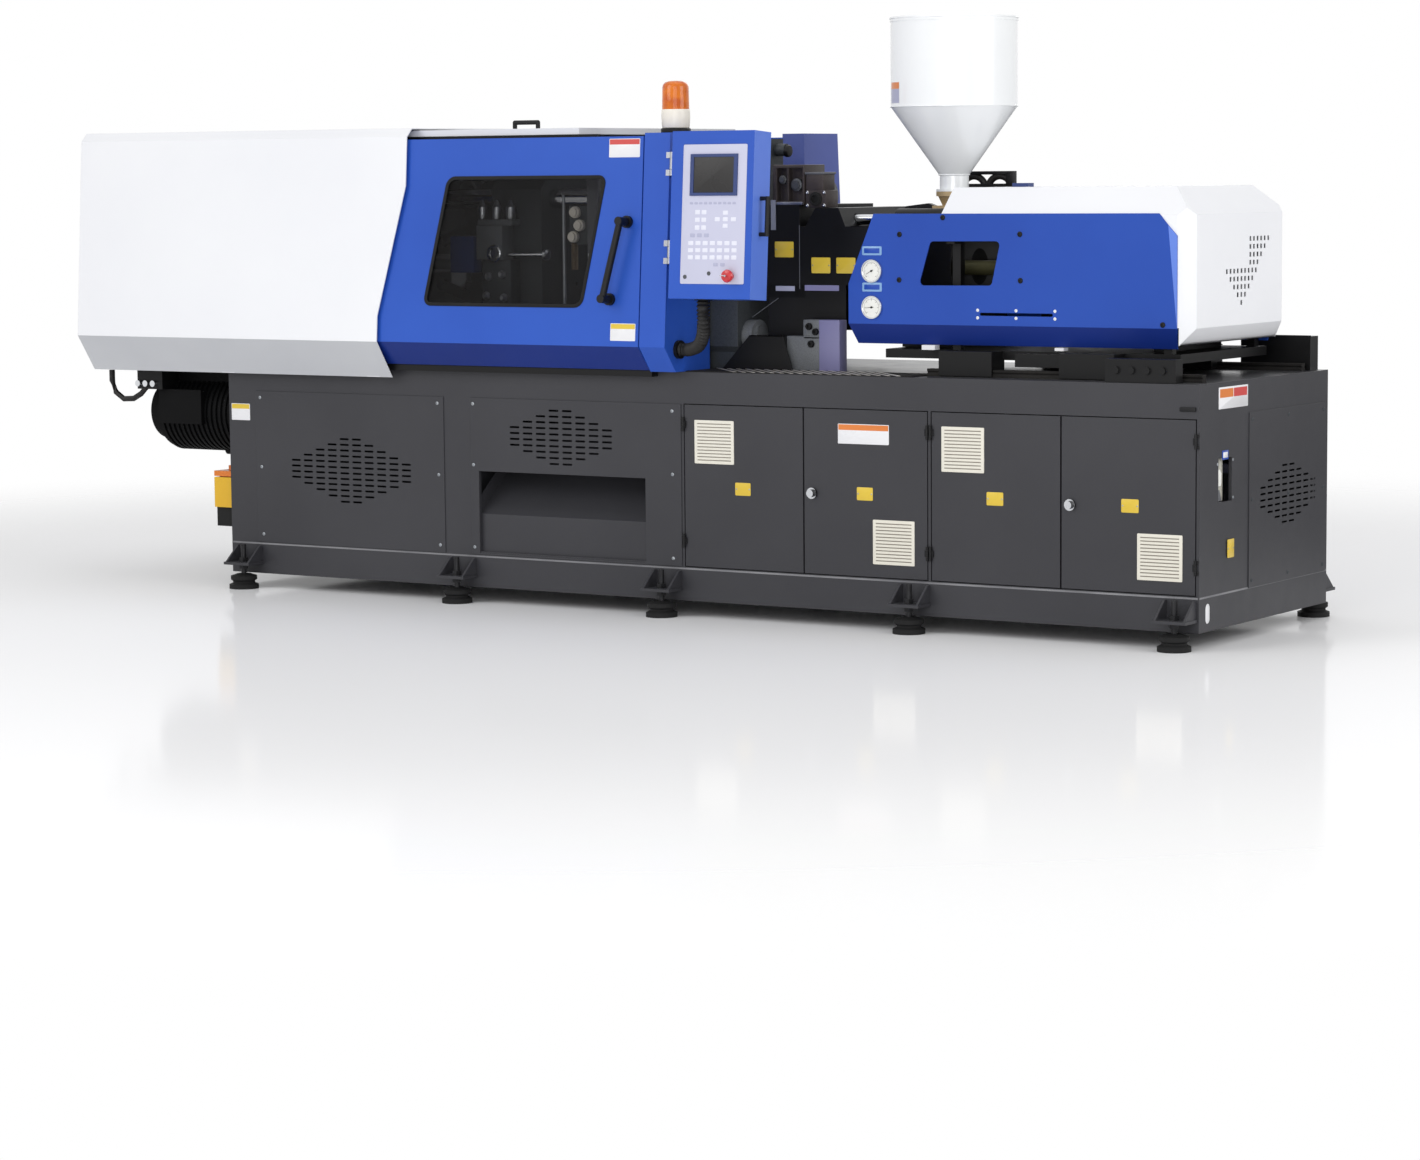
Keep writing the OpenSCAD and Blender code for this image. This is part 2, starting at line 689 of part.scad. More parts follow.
module rear_link(side) {
    w = link_w / 2 + play;
    translate([0, 0, axis_z]) scale([1, 1, side]) {
        link_planes() {
            for (y = [-w - fork_w, w]) along_y(y, fork_w) link_shape(pin_a, pin_b, eye_r);
            for (p = [pin_a, pin_b]) rod_y(p[0], [-w - fork_w - 4, w + fork_w + 4], p[1], pin_r);
        }
        rod_y(pin_d_pos[0], [axis_y - link_y + w + 1, axis_y + link_y - w - 1], pin_d_pos[1], guide_r);
    }
}

module front_link(side) {
    w = link_w / 2;
    tie_at = (pin_b + pin_c) / 2;
    translate([0, 0, axis_z]) scale([1, 1, side]) {
        link_planes() difference() {
            union() {
                along_y(-w, link_w) link_shape(pin_b, pin_c, eye_r);
                rod_y(pin_c[0], [-w - play / 2, w + play / 2], pin_c[1], pin_r);
            }
            rod_y(pin_b[0], [-w - 1, w + 1], pin_b[1], pin_r + fit);
        }
        rod_y(tie_at[0], [axis_y - link_y + w - 5, axis_y + link_y - w + 5], tie_at[1], 16);
    }
}

module cross_link(side) {
    arm = 20;
    inner = 50;
    translate([0, axis_y, axis_z]) scale([1, 1, side]) difference() {
        union() {
            for (y = [-inner - arm, inner]) along_y(y, arm) {
                translate(pin_d_pos) circle(r = guide_r + 8);
                link_shape(pin_d_pos, pin_e, 22);
            }
            rod_y(pin_d_pos[0], [-inner - 1, inner + 1], pin_d_pos[1], guide_r + 8);
            for (s = [-1, 1]) rod_y(pin_e[0], s > 0 ? [inner + arm - 1,
                inner + arm + 4] : [-inner - arm - 4, -inner - arm + 1], pin_e[1], 14);
        }
        rod_y(pin_d_pos[0], [-inner - arm - 1, inner + arm + 1], pin_d_pos[1], guide_r + fit);
    }
}

module rear_link_upper() { color([0.5, 0.52, 0.55]) place() rear_link(1); }
module rear_link_lower() { color([0.5, 0.52, 0.55]) place() rear_link(-1); }
module front_link_upper() { color([0.42, 0.44, 0.47]) place() front_link(1); }
module front_link_lower() { color([0.42, 0.44, 0.47]) place() front_link(-1); }
module cross_link_upper() { color([0.56, 0.58, 0.6]) place() cross_link(1); }
module cross_link_lower() { color([0.56, 0.58, 0.6]) place() cross_link(-1); }

module tail_platen() {
    w = link_w / 2;
    color([0.42, 0.44, 0.47]) place() difference() {
        union() {
            platen_block(tail_x, tail_t);
            // Lugs of the rear links
            for (side = [-1, 1]) translate([0, 0, axis_z]) scale([1, 1, side]) link_planes()
                along_y(-w, link_w) {
                translate(pin_a) circle(r = eye_r);
                polygon([[tail_x1 - 1, pin_h - 62], [pin_a_x, pin_h - eye_r], [pin_a_x, pin_h + eye_r],
                    [tail_x1 - 1, half - 6]]);
            }
            // Guide rods of the crosshead and the gear nuts of the tie bars
            for (s = [-1, 1]) rod_x([tail_x1 - 1, pin_a_x + 40], axis_y + s * guide_y, axis_z, guide_r);
            tie_holes(tail_x - 46, 47, tie_r + 26);
            for (s = [-1, 1])
                box([tail_x + 10, tail_x1 - 10], [axis_y + s * 240 - 60, axis_y + s * 240 + 60],
                    [shoe_h, axis_z - half + 40]);
        }
        tie_holes(tail_x - 60, tail_t + 80, tie_r + fit);
        rod_x([tail_x - 1, tail_x1 + 1], axis_y, axis_z, ram_r + fit);
        for (side = [-1, 1]) translate([0, 0, axis_z]) scale([1, 1, side]) link_planes()
            rod_y(pin_a_x, [-w - 1, w + 1], pin_h, pin_r + fit);
    }
}

// Hydraulic clamp cylinder behind the tail platen
cyl_l = 500;
cyl_r = 110;
piston_r = 80;
module clamp_cylinder() {
    x1 = tail_x - seat;
    x0 = tail_x - cyl_l;
    color([0.3, 0.31, 0.33]) place() difference() {
        union() {
            rod_x([x0, x1], axis_y, axis_z, cyl_r);
            for (x = [x0, x1 - 32]) rod_x([x, x + 32], axis_y, axis_z, cyl_r + 26);
            for (x = [x0 + 60, x1 - 80]) translate([x, axis_y, axis_z]) cylinder(h = cyl_r + 30, r = 16);
        }
        rod_x([x0 + 30, x1 - 30], axis_y, axis_z, piston_r);
        rod_x([x1 - 31, x1 + 1], axis_y, axis_z, ram_r + fit);
    }
}

module crosshead() {
    t = 30;
    hub = 46;
    color([0.55, 0.57, 0.6]) place() difference() {
        union() {
            box([pin_e_x - t, pin_e_x + t], [axis_y - hub, axis_y + hub], [axis_z - cross_z - 14,
                axis_z + cross_z + 14]);
            box([pin_e_x - t, pin_e_x + t], [axis_y - guide_y - 30, axis_y + guide_y + 30],
                [axis_z - 32, axis_z + 32]);
            for (z = [-1, 1]) rod_y(pin_e_x, [axis_y - hub - 3, axis_y + hub + 3], axis_z + z * cross_z,
                18);
            rod_x([tail_x - cyl_l + 60, pin_e_x - t + 1], axis_y, axis_z, ram_r);
            rod_x([tail_x - cyl_l + 60, tail_x - cyl_l + 110], axis_y, axis_z, piston_r - fit);
        }
        for (s = [-1, 1]) rod_x([pin_e_x - t - 1, pin_e_x + t + 1], axis_y + s * guide_y, axis_z,
            guide_r + fit);
    }
}

safety_r = 22;
module moving_platen() {
    w = link_w / 2 + 2;
    bush_z = axis_z + half + 85;
    color([0.5, 0.52, 0.55]) place() difference() {
        union() {
            difference() {
                union() {
                    platen_block(moving_x, moving_t);
                    // Lugs with pin caps for the front links
                    for (side = [-1, 1]) translate([0, 0, axis_z]) scale([1, 1, side]) link_planes() {
                        for (y = [-w - fork_w, w]) along_y(y, fork_w) {
                            translate(pin_c) circle(r = eye_r);
                            polygon([[pin_c_x, pin_h - eye_r], [moving_x + 1, pin_h - 56],
                                [moving_x + 1, half - 6], [pin_c_x, pin_h + eye_r]]);
                        }
                        for (s = [-1, 1]) rod_y(pin_c_x, s > 0 ? [w + fork_w - 1,
                            w + fork_w + 5] : [-w - fork_w - 5, -w - fork_w + 1], pin_h, pin_r + 4);
                    }
                    for (s = [-1, 1])
                        box([moving_x + 10, moving_x1 - 10], [axis_y + s * 240 - 60,
                            axis_y + s * 240 + 60], [shoe_h, axis_z - half + 40]);
                    // Mechanical safety bar above the platen
                    box([moving_x + 50, moving_x + 110], [axis_y + 30, axis_y + 90], [axis_z + half - 1,
                        bush_z + 30]);
                    rod_x([moving_x + 109, fixed_x1 - 30], axis_y + 60, bush_z, safety_r);
                }
                // Pocket of the ejector
                box([moving_x - 1, moving_x1 - 60], [axis_y - 90, axis_y + 90],
                    [axis_z - 110, axis_z + 110]);
            }
            rod_x([moving_x1 - 105, moving_x1 - 59], axis_y, axis_z, 60);
        }
        tie_holes(moving_x - 1, moving_t + 2, tie_r + fit);
        rod_x([moving_x1 - 110, moving_x1 + 1], axis_y, axis_z, 20 + fit);
        rod_x([moving_x1 - 15, moving_x1 + 1], axis_y, axis_z, 62.5);
        mould_holes(moving_x1 + 1, -1);
    }
}

module ejector() {
    color([0.78, 0.79, 0.8]) place() {
        rod_x([moving_x + 4, moving_x1 + 5], axis_y, axis_z, 20);
        box([moving_x + 4, moving_x + 12], [axis_y - 80, axis_y + 80], [axis_z - 30, axis_z + 30]);
    }
}

// Sliding safety doors: a folded sheet with a slanted window
module door_skin() {
    foot = door_z0;
    top = door_z1;
    t = sheet;
    difference() {
        union() {
            along_x(door_x0, door_l) polygon([[-20, foot], [-door_foot_out, foot], [-door_out, fold_z],
                [-door_top_out, top], [-door_top_out + 25, top], [-door_top_out + 25, top - t],
                [-door_top_out + t, top - t], [-door_out + t, fold_z + 0.4], [-door_foot_out + t / 2,
                    foot + t], [-20, foot + t]]);
            for (x = [door_x0, door_x1 - t]) along_x(x, t) polygon([[-20, foot], [-door_foot_out, foot],
                [-door_out, fold_z], [-door_top_out, top], [-door_top_out + 25, top],
                    [-door_out + 25, fold_z + 6], [-20, foot + 4]]);
            // Hangers that run on the upper rail
            for (x = [door_x0 + 100, door_x1 - 180])
                box([x, x + 80], [-door_top_out + t - 1, -rail_y + 18], [rail_top + 0.5, top - t + 1]);
        }
        along_y(-door_out - 20, 90) polygon(rounded(window, window_r));
    }
}

module glazing() {
    pane = grow(window, 18);
    z0 = pane[0][1];
    z1 = pane[1][1];
    gap = sheet + seat;
    intersection() {
        along_y(-door_out - 20, 100) polygon(rounded(pane, window_r));
        along_x(pane[0][0] - 5, pane[2][0] - pane[0][0] + 10) polygon([
            [-lean_out(z0) + gap, z0], [-lean_out(z1) + gap, z1],
            [-lean_out(z1) + gap + 5, z1], [-lean_out(z0) + gap + 5, z0]]);
    }
}

// Bow handle on two round feet, parallel to the window's edge and square to the leaning face
module bow_handle() {
    out = [0, -cos(lean), sin(lean)];
    ends = [for (h = [handle_hi, handle_lo]) [h[0], -lean_out(h[1]), h[1]]];
    for (c = ends) {
        bar(c + seat * out, c + handle_foot_l * out, handle_foot_r);
        bar(c + seat * out, c + 14 * out, 21);
    }
    bar(ends[0] + handle_out * out, ends[1] + handle_out * out, 12);
}

module front_door() { color([0.12, 0.29, 0.72]) place() door_skin(); }
module front_window() { color([0.15, 0.14, 0.14, 0.6]) place() glazing(); }
module front_handle() { color([0.05, 0.05, 0.05]) place() bow_handle(); }
module rear_door() {
    color([0.12, 0.29, 0.72]) place() far_side() {
        door_skin();
        bow_handle();
    }
}
module rear_window() { color([0.15, 0.14, 0.14, 0.6]) place() far_side() glazing(); }

// Sliding guard over the mould space, with its grip
roof_x = [800, 1620];
roof_grip = [1310, 1426];
module roof_guard() {
    top = cover_top - 8;
    z0 = cover_top - 31 + seat;
    color([0.9, 0.91, 0.92]) place() {
        difference() {
            box(roof_x, [-6, base_w + 6], [z0, top]);
            box([roof_x[0] + sheet, roof_x[1] - sheet], [-6 + sheet, base_w + 6 - sheet],
                [z0 - 1, top - sheet]);
        }
        for (x = [roof_grip[0] + 8, roof_grip[1] - 8]) translate([x, 30, top - 1]) cylinder(h = 24, r = 8);
        rod_x([roof_grip[0] + 8, roof_grip[1] - 8], 30, top + 22, 8);
        for (x = [roof_grip[0] + 8, roof_grip[1] - 8]) translate([x, 30, top + 22]) sphere(r = 8);
    }
}

// Sheet guard around the nozzle, screwed to the fixed platen
guard_y = [axis_y - 250, axis_y + 250];
module nozzle_guard() {
    x0 = fixed_x1 + seat;
    t = sheet;
    low = axis_z + 140;
    high = axis_z + 203;
    tall = axis_z + 214;
    skirt = axis_z - 60;
    step = axis_z + 166;
    step_x = fixed_x1 + nut_t + 14;
    outline = [[x0, skirt - 45], [x0, step], [step_x, step], [step_x, tall], [2362, tall], [2362, low],
        [2385, low], [2425, high], [2518, high],
        [2545, low], [2690, low], [2690, skirt], [2385, skirt], [2385, skirt - 45]];
    inner = [[x0 - 1, skirt - 60], [x0 - 1, step - t], [step_x + t, step - t], [step_x + t, tall - t],
        [2362 - t, tall - t], [2362 - t, low - t], [2387, low - t],
        [2427, high - t], [2516, high - t], [2543, low - t], [2691, low - t], [2691, skirt - 60]];
    color([0.07, 0.07, 0.08]) place() difference() {
        along_y(guard_y[0], guard_y[1] - guard_y[0]) polygon(outline);
        along_y(guard_y[0] + t, guard_y[1] - guard_y[0] - 2 * t) polygon(inner);
        for (s = [-1, 1]) rod_x([x0 - 1, 2700], axis_y + s * rod_y, rod_z, rod_r + 3);
    }
}

// Core-pull valves on the back of the fixed platen
module valve_block() {
    z0 = axis_z + 214 + seat;
    x0 = fixed_x1 + nut_t + 14;
    color([0.3, 0.31, 0.32]) place() {
        box([x0, x0 + 190], [axis_y - 180, axis_y - 60], [z0, z0 + 52]);
        for (x = [x0 + 36, x0 + 92, x0 + 148]) {
            box([x - 21, x + 21], [axis_y - 170, axis_y - 90], [z0 + 51, z0 + 88]);
            rod_y(x, [axis_y - 200, axis_y - 60], z0 + 70, 13);
        }
        box([x0 + 110, x0 + 186], [axis_y - 160, axis_y - 80], [z0 + 87, z0 + 116]);
    }
}

// Rails of the injection carriage and the rods that pull the nozzle to the platen
module carriage_guides() {
    color([0.72, 0.73, 0.75]) place() {
        for (y = [rail_in, base_w - rail_in])
            along_x(2950, base_l - 40 - 2950) polygon([[y - 15, deck_z + seat], [y + 15, deck_z + seat],
                [y + 15, deck_z + 8],
                [y + 10, deck_z + 13], [y + 15, deck_z + 18], [y + 15, deck_z + 25], [y - 15, deck_z + 25],
                [y - 15, deck_z + 18], [y - 10, deck_z + 13], [y - 15, deck_z + 8]]);
        for (s = [-1, 1]) rod_x([fixed_x1 + seat, 3000], axis_y + s * rod_y, rod_z, rod_r);
    }
}

// Flashing lamp on the front column
beacon_pos = [1987, 50];
module beacon() {
    z = column_z1 + seat;
    color([0.95, 0.5, 0.1]) place() translate([beacon_pos[0], beacon_pos[1], z]) rotate_extrude() polygon([
        [0, 0], [52, 0], [52, 16], [48, 20], [51, 26], [48, 72], [45, 76], [45, 80], [43, 158], [38, 170],
            [24, 177], [0, 178]]);
}

// Corrugated conduit from the control box to the column
conduit_in = [column_x + column_w + 12, -30, 928];
conduit_at = [99, 68, -3];
conduit_r = 24;
function on_lean(p) = [box_x + p[0], box_y + p[1] * cos(lean) + p[2] * sin(lean),
    box_z - p[1] * sin(lean) + p[2] * cos(lean)];
conduit_route = [on_lean(conduit_at - [0, 0, 0.6]), on_lean(conduit_at - [0, 0, 32]), [2203, -118, 1030],
    [2192, -102, 998], [2170, -80, 965], [2138, -56, 942], [2100, -38, 931],
    [conduit_in[0] + 28, -30, 928], [conduit_in[0] + 0.4, -30, 928]];
module panel_conduit() {
    color([0.06, 0.06, 0.06]) place() sweep(conduit_route, conduit_r, 12);
}

// Terminal boxes that stand on the deck at the injection end
module deck_boxes() {
    z0 = deck_z + seat;
    color([0.1, 0.1, 0.11]) place() {
        difference() {
            box([base_l - 278, base_l - 34], [base_w - 80, base_w - 8], [z0, z0 + 114]);
            box([base_l - 274, base_l - 38], [base_w - 74, base_w - 12], [z0 + 4, z0 + 110]);
        }
        box([base_l - 284, base_l - 28], [base_w - 85, base_w - 79.5], [z0, z0 + 118]);
        box([base_l - 340, base_l - 90], [8, 60], [z0, z0 + 76]);
        for (k = [0 : 3]) rod_y(base_l - 300 + k * 55, [0, 9], z0 + 40, 12);
    }
}

// Carriage of the injection unit: plate, rail shoes, uprights and rear bearer
shoe_x = [[3000, 3200], [3450, 3650]];
ram_rod_y = 160;
ram_rod_x1 = 3700;
module carriage_base() {
    shroud_in = skin_y0 + sheet + seat;
    color([0.13, 0.13, 0.14]) place() {
        box([2750, 3850], [unit_y0 + 50, unit_y1 - 50], [plate_z, plate_z + plate_t]);
        both_sides() {
            for (x = shoe_x) difference() {
                box(x, [90, unit_y0 + 60], [deck_z + 3, plate_z + plate_t]);
                box([x[0] - 1, x[1] + 1], [rail_in - 16, rail_in + 16], [deck_z - 1, deck_z + 26]);
            }
            for (x = [3010, 3790]) {
                box([x, x + 30], [unit_y0 + 50, unit_y0 + 80], [plate_z + plate_t - 1, 1380]);
                box([x, x + 30], [shroud_in, unit_y0 + 51], [1290, 1340]);
            }
        }
        box([ram_rod_x1 + seat, ram_rod_x1 + 35], [axis_y - 220, axis_y + 220], [plate_z + plate_t - 1,
            axis_z + 90]);
        box([3266, 3440], [unit_y0 + 10, unit_y0 + 51], [plate_z - 20, plate_z + 24]);
    }
}

// Barrel with its heater bands, end cap and nozzle
band_xs = [2270, 2390, 2510, 2630];
module barrel() {
    color([0.6, 0.58, 0.55]) place() difference() {
        union() {
            rod_x([2260, house_x1], axis_y, axis_z, barrel_r);
            for (x = band_xs) rod_x([x, x + 96], axis_y, axis_z, barrel_r + 7);
            rod_x([2190, 2261], axis_y, axis_z, barrel_r - 8);
            rod_x([2040, 2191], axis_y, axis_z, 26);
            translate([2012, axis_y, axis_z]) rotate([0, 90, 0]) cylinder(h = 29, r1 = 11, r2 = 26);
        }
        rod_x([2215, house_x1 + 1], axis_y, axis_z, screw_r + fit);
        rod_x([2000, 2220], axis_y, axis_z, 4);
        translate([throat_x, axis_y, axis_z]) cylinder(h = barrel_r + 10, r = 24);
    }
}

// Housing that holds the barrel, the throat and the nozzle cylinders
module injection_housing() {
    hose_r = 12;
    loop_r = 46;
    color([0.16, 0.16, 0.17]) place() {
        difference() {
            union() {
                box([house_x, house_x1], [axis_y - 200, axis_y + 200], [plate_z + plate_t + seat, 1330]);
                box([throat_x - 75, throat_x + 75], [axis_y - 75, axis_y + 75], [1329, 1385]);
                for (s = [-1, 1]) rod_x([house_x - 40, 3040], axis_y + s * rod_y, rod_z, rod_r + 20);
            }
            rod_x([house_x - 1, house_x1 + 1], axis_y, axis_z, barrel_r + fit);
            for (s = [-1, 1]) rod_x([house_x - 50, 3020], axis_y + s * rod_y, rod_z, rod_r + fit);
            translate([throat_x, axis_y, axis_z]) cylinder(h = 200, r = 24);
        }
        // Rods that the ram runs on
        for (s = [-1, 1]) rod_x([house_x1 - 1, ram_rod_x1], axis_y + s * ram_rod_y, axis_z, 25);
        // Hose bends over the housing
        for (x = [2826, 2928]) translate([x, axis_y + rod_y, 1466]) {
            rotate([90, 0, 0]) rotate_extrude(angle = 180, $fn = 32) translate([loop_r, 0])
                circle(r = hose_r, $fn = 16);
            for (s = [-1, 1]) translate([s * loop_r, 0, -66]) cylinder(h = 66, r = hose_r);
        }
    }
}

// Painted side panels with a slanted window and the gauge holes
side_outline = [[side_x0 + 19, 953], [side_x0, 1020], [side_x0, 1155], [side_x0 + 99, 1390],
    [3795, 1390], [3828, 1352], [3860, 1318], [3860, 1020], [3847, 953]];
side_window = [[2908, 1151], [2953, 1298], [3217, 1299], [3184, 1153]];
slot_x = [3140, 3412];
slot_z = 1058;
module side_skin() {
    lip = 35;
    difference() {
        union() {
            along_y(unit_y0, panel_t) polygon([for (p = side_outline) [p[0], max(p[1], 1020)]]);
            // Lower edge folded in below the unit
            intersection() {
                along_y(unit_y0, lip + panel_t) polygon(side_outline);
                along_x(side_x0, 1300) polygon([[unit_y0, 1021], [unit_y0 + panel_t, 1021],
                    [unit_y0 + panel_t + lip, 950], [unit_y0 + lip, 950]]);
            }
        }
        along_y(unit_y0 - 1, panel_t + 2) polygon(rounded(side_window, 14));
        along_y(unit_y0 - 1, panel_t + 2) translate([(slot_x[0] + slot_x[1]) / 2, slot_z])
            obround(slot_x[1] - slot_x[0], 10);
        for (z = gauge_z) rod_y(gauge_x, [unit_y0 - 1, unit_y0 + panel_t + 1], z, 36);
    }
}

module side_panels() {
    color([0.12, 0.29, 0.72]) place() both_sides() side_skin();
}

module pressure_gauges() {
    color([0.85, 0.86, 0.86]) place() for (z = gauge_z) {
        rod_y(gauge_x, [unit_y0 - 6, unit_y0 + 40], z, 35);
        rod_y(gauge_x, [unit_y0 - 8, unit_y0 - seat], z, 40);
        rod_y(gauge_x, [unit_y0 + 39, unit_y0 + 70], z, 9);
    }
}

// White shroud: a shell with hipped top edges and slotted end
module shroud_solid(t) {
    x0 = shroud_x0 - (t > 0 ? 5 : 0);
    y0 = skin_y0 + t;
    y1 = skin_y1 - t;
    z0 = shroud_z0 - (t > 0 ? 5 : 0);
    z1 = shroud_z1 - t / 2;
    x1 = shroud_x1 - t;
    top = shroud_top - t;
    corner = 48;
    intersection() {
        along_x(x0, x1 - x0) polygon([[y0, z0], [y0, z1], [y0 + shroud_cut, top], [y1 - shroud_cut, top],
            [y1, z1], [y1, z0]]);
        along_y(y0, y1 - y0) polygon([[x0, z0], [x1 - 50, z0], [x1, 1020], [x1, z1], [x1 - shroud_cut,
            top], [x0, top]]);
        translate([0, 0, z0]) linear_extrude(top - z0) polygon([[x0, y0], [x1 - corner, y0],
            [x1, y0 + corner],
            [x1, y1 - corner], [x1 - corner, y1], [x0, y1]]);
    }
}

module end_slots() {
    px = 28;
    pz = 26;
    rows = [[578, 6], [578, 5], [578, 4], [578, 3], [398, 9], [426, 7], [454, 5], [482, 3], [510, 1]];
    for (k = [0 : len(rows) - 1], i = [0 : rows[k][1] - 1])
        translate([rows[k][0] + i * px - 7, 1300 - k * pz - 7]) square([14, 15]);
}

module injection_shroud() {
    low = 1022;
    color([0.93, 0.94, 0.95]) place() difference() {
        shroud_solid(0);
        shroud_solid(sheet);
        // The folded panels close the lower sides, and the window shows the ram
        both_sides() box([shroud_x0 - 10, 3862], [unit_y0 - 1, unit_y0 + 60], [shroud_z0 - 10, low]);
        both_sides() box([shroud_x0 - 10, 3240], [skin_y0 - 1, skin_y0 + sheet + 1], [1140, 1312]);
        both_sides() box([slot_x[0] - 6, slot_x[1] + 6], [skin_y0 - 1, skin_y0 + sheet + 1],
            [slot_z - 12, slot_z + 12]);
        along_x(shroud_x1 - 10, 20) end_slots();
    }
}

// Hopper, a spun shell with a loose lid
module hopper() {
    r = hopper_r;
    t = hopper_t;
    color([0.94, 0.95, 0.95]) place() translate([throat_x, axis_y, 0]) rotate_extrude($fn = 96) polygon([
        [neck_r - t, hopper_z0], [62, hopper_z0], [62, hopper_z0 + 8], [neck_r, hopper_z0 + 8],
            [neck_r, neck_z],
        [r, cone_z], [r, hopper_z1], [r - t, hopper_z1], [r - t, cone_z + 1], [neck_r - t, neck_z + 1]]);
}

module hopper_lid() {
    color([0.92, 0.93, 0.93]) place() translate([throat_x, axis_y, 0]) rotate_extrude($fn = 96) polygon([
        [0, hopper_z1 + seat], [hopper_r + 0.4, hopper_z1 + seat], [hopper_r + 0.4, hopper_z1 - 12],
        [hopper_r + 2.4, hopper_z1 - 12], [hopper_r + 2.4, hopper_z1 + 4], [60, hopper_z1 + 6],
            [0, hopper_z1 + 6]]);
}

// Cast foot of the hopper with the slide gate
gate_z = [1399, 1407];
gate_w = 84;
module hopper_base() {
    color([0.72, 0.62, 0.45]) place() difference() {
        union() {
            box([throat_x - 74, throat_x + 74], [axis_y - 74, axis_y + 74], [1385 + seat, 1396]);
            box([throat_x - 56, throat_x + 56], [axis_y - 56, axis_y + 56], [1395, 1413]);
            translate([throat_x, axis_y, 1412]) cylinder(h = 34, r1 = 40, r2 = 56);
            translate([throat_x, axis_y, 1445]) cylinder(h = hopper_z0 - 1445 - seat, r = 62);
        }
        translate([throat_x, axis_y, 1380]) cylinder(h = 100, r = 24);
        box([throat_x - 60, throat_x + 46], [axis_y - gate_w / 2 - 0.5, axis_y + gate_w / 2 + 0.5],
            [gate_z[0] - 0.5, gate_z[1] + 0.5]);
    }
}

module hopper_gate() {
    x1 = throat_x + 38;
    color([0.1, 0.1, 0.1]) place() {
        box([throat_x - 58, x1], [axis_y - gate_w / 2, axis_y + gate_w / 2], gate_z);
        along_y(axis_y - 12, 24) polygon([[throat_x - 57, gate_z[0]], [throat_x - 57, gate_z[1]],
            [throat_x - 96, gate_z[1] + 14],
            [throat_x - 186, gate_z[1] + 4], [throat_x - 192, gate_z[0] + 2],
                [throat_x - 186, gate_z[0] - 2], [throat_x - 100, gate_z[0] + 4]]);
    }
}

// Ram of the injection unit with its hydraulic motor
module injection_ram() {
    x0 = 3150;
    color([0.25, 0.27, 0.3]) place() difference() {
        union() {
            box([x0, x0 + 140], [axis_y - 200, axis_y + 200], [axis_z - 95, axis_z + 95]);
            rod_x([x0 + 139, x0 + 300], axis_y, axis_z, 88);
            box([x0 + 180, x0 + 270], [axis_y - 60, axis_y + 60], [axis_z + 60, axis_z + 120]);
            rod_x([x0 + 299, x0 + 330], axis_y, axis_z, 60);
        }
        for (s = [-1, 1]) rod_x([x0 - 1, x0 + 141], axis_y + s * ram_rod_y, axis_z, 25 + fit);
        rod_x([x0 - 1, x0 + 80], axis_y, axis_z, screw_r - 2 + fit);
    }
}

// Screw with its flight, shank and tip
flight_l = 560;
flight_pitch = 56;
module screw() {
    x0 = 2260;
    core = screw_r - 5;
    color([0.7, 0.72, 0.74]) place() translate([x0, axis_y, axis_z]) rotate([0, 90, 0]) {
        linear_extrude(flight_l, twist = 360 * flight_l / flight_pitch,
            slices = 6 * flight_l / flight_pitch, convexity = 4)
            union() {
                circle(r = core, $fn = 8);
                intersection() {
                    circle(r = screw_r, $fn = 16);
                    polygon([[0, -3], [screw_r + 2, -6], [screw_r + 2, 6], [0, 3]]);
                }
            }
        translate([0, 0, -38]) cylinder(h = 39, r1 = 4, r2 = core);
        translate([0, 0, flight_l - 1]) cylinder(h = 3150 + 78 - x0 - flight_l, r = screw_r - 2);
    }
}

// Cabinet doors: shallow pans with a louvre near one corner
louvre_s = [158, 150];
louvre_at = [[door_left(0) + 122, 610], [door_right(1) - 128, 295], [door_left(2) + 118, 616],
    [door_right(3) - 124, 293]];
module cabinet_door(i) {
    x = [door_left(i), door_right(i)];
    c = louvre_at[i];
    hx = hinge_at(i);
    side = hinged_left(i) ? 1 : -1;
    knob_x = knob_at(i);
    difference() {
        union() {
            difference() {
                box(x, [0, door_t], [panel_z0 + 2, panel_z1 - 1]);
                box([x[0] + 3, x[1] - 3], [sheet, door_t + 1], [panel_z0 + 5, panel_z1 - 4]);
            }
            box([c[0] - louvre_s[0] / 2 - 6, c[0] + louvre_s[0] / 2 + 6], [1, 8],
                [c[1] - louvre_s[1] / 2 - 6, c[1] + louvre_s[1] / 2 + 6]);
            for (z = hinge_zs) knuckle(hx, z + 12.5, 23, side);
        }
        // Louvre slots
        for (k = [0 : 9]) translate([c[0] - louvre_s[0] / 2 + 10, -1,
            c[1] - louvre_s[1] / 2 + 9 + k * 13.6])
            cube([louvre_s[0] - 20, 12, 6]);
        for (z = hinge_zs) translate([hx, -knuckle_r - 1, z]) cylinder(h = 48, r = pin_hinge_r + fit,
            $fn = 24);
        if (i % 2 == 1) rod_y(knob_x, [-1, 10], knob_z, 8 + fit);
    }
}

knob_z = 450;
function knob_at(i) = door_left(i) + 32;
module lock_knob(i) {
    x = knob_at(i);
    rod_y(x, [-8, -seat], knob_z, 19);
    rod_y(x, [-20, -7], knob_z, 13);
    rod_y(x, [-1, 12], knob_z, 8);
    box([x - 24, x + 10], [8, 12], [knob_z - 8, knob_z + 8]);
}

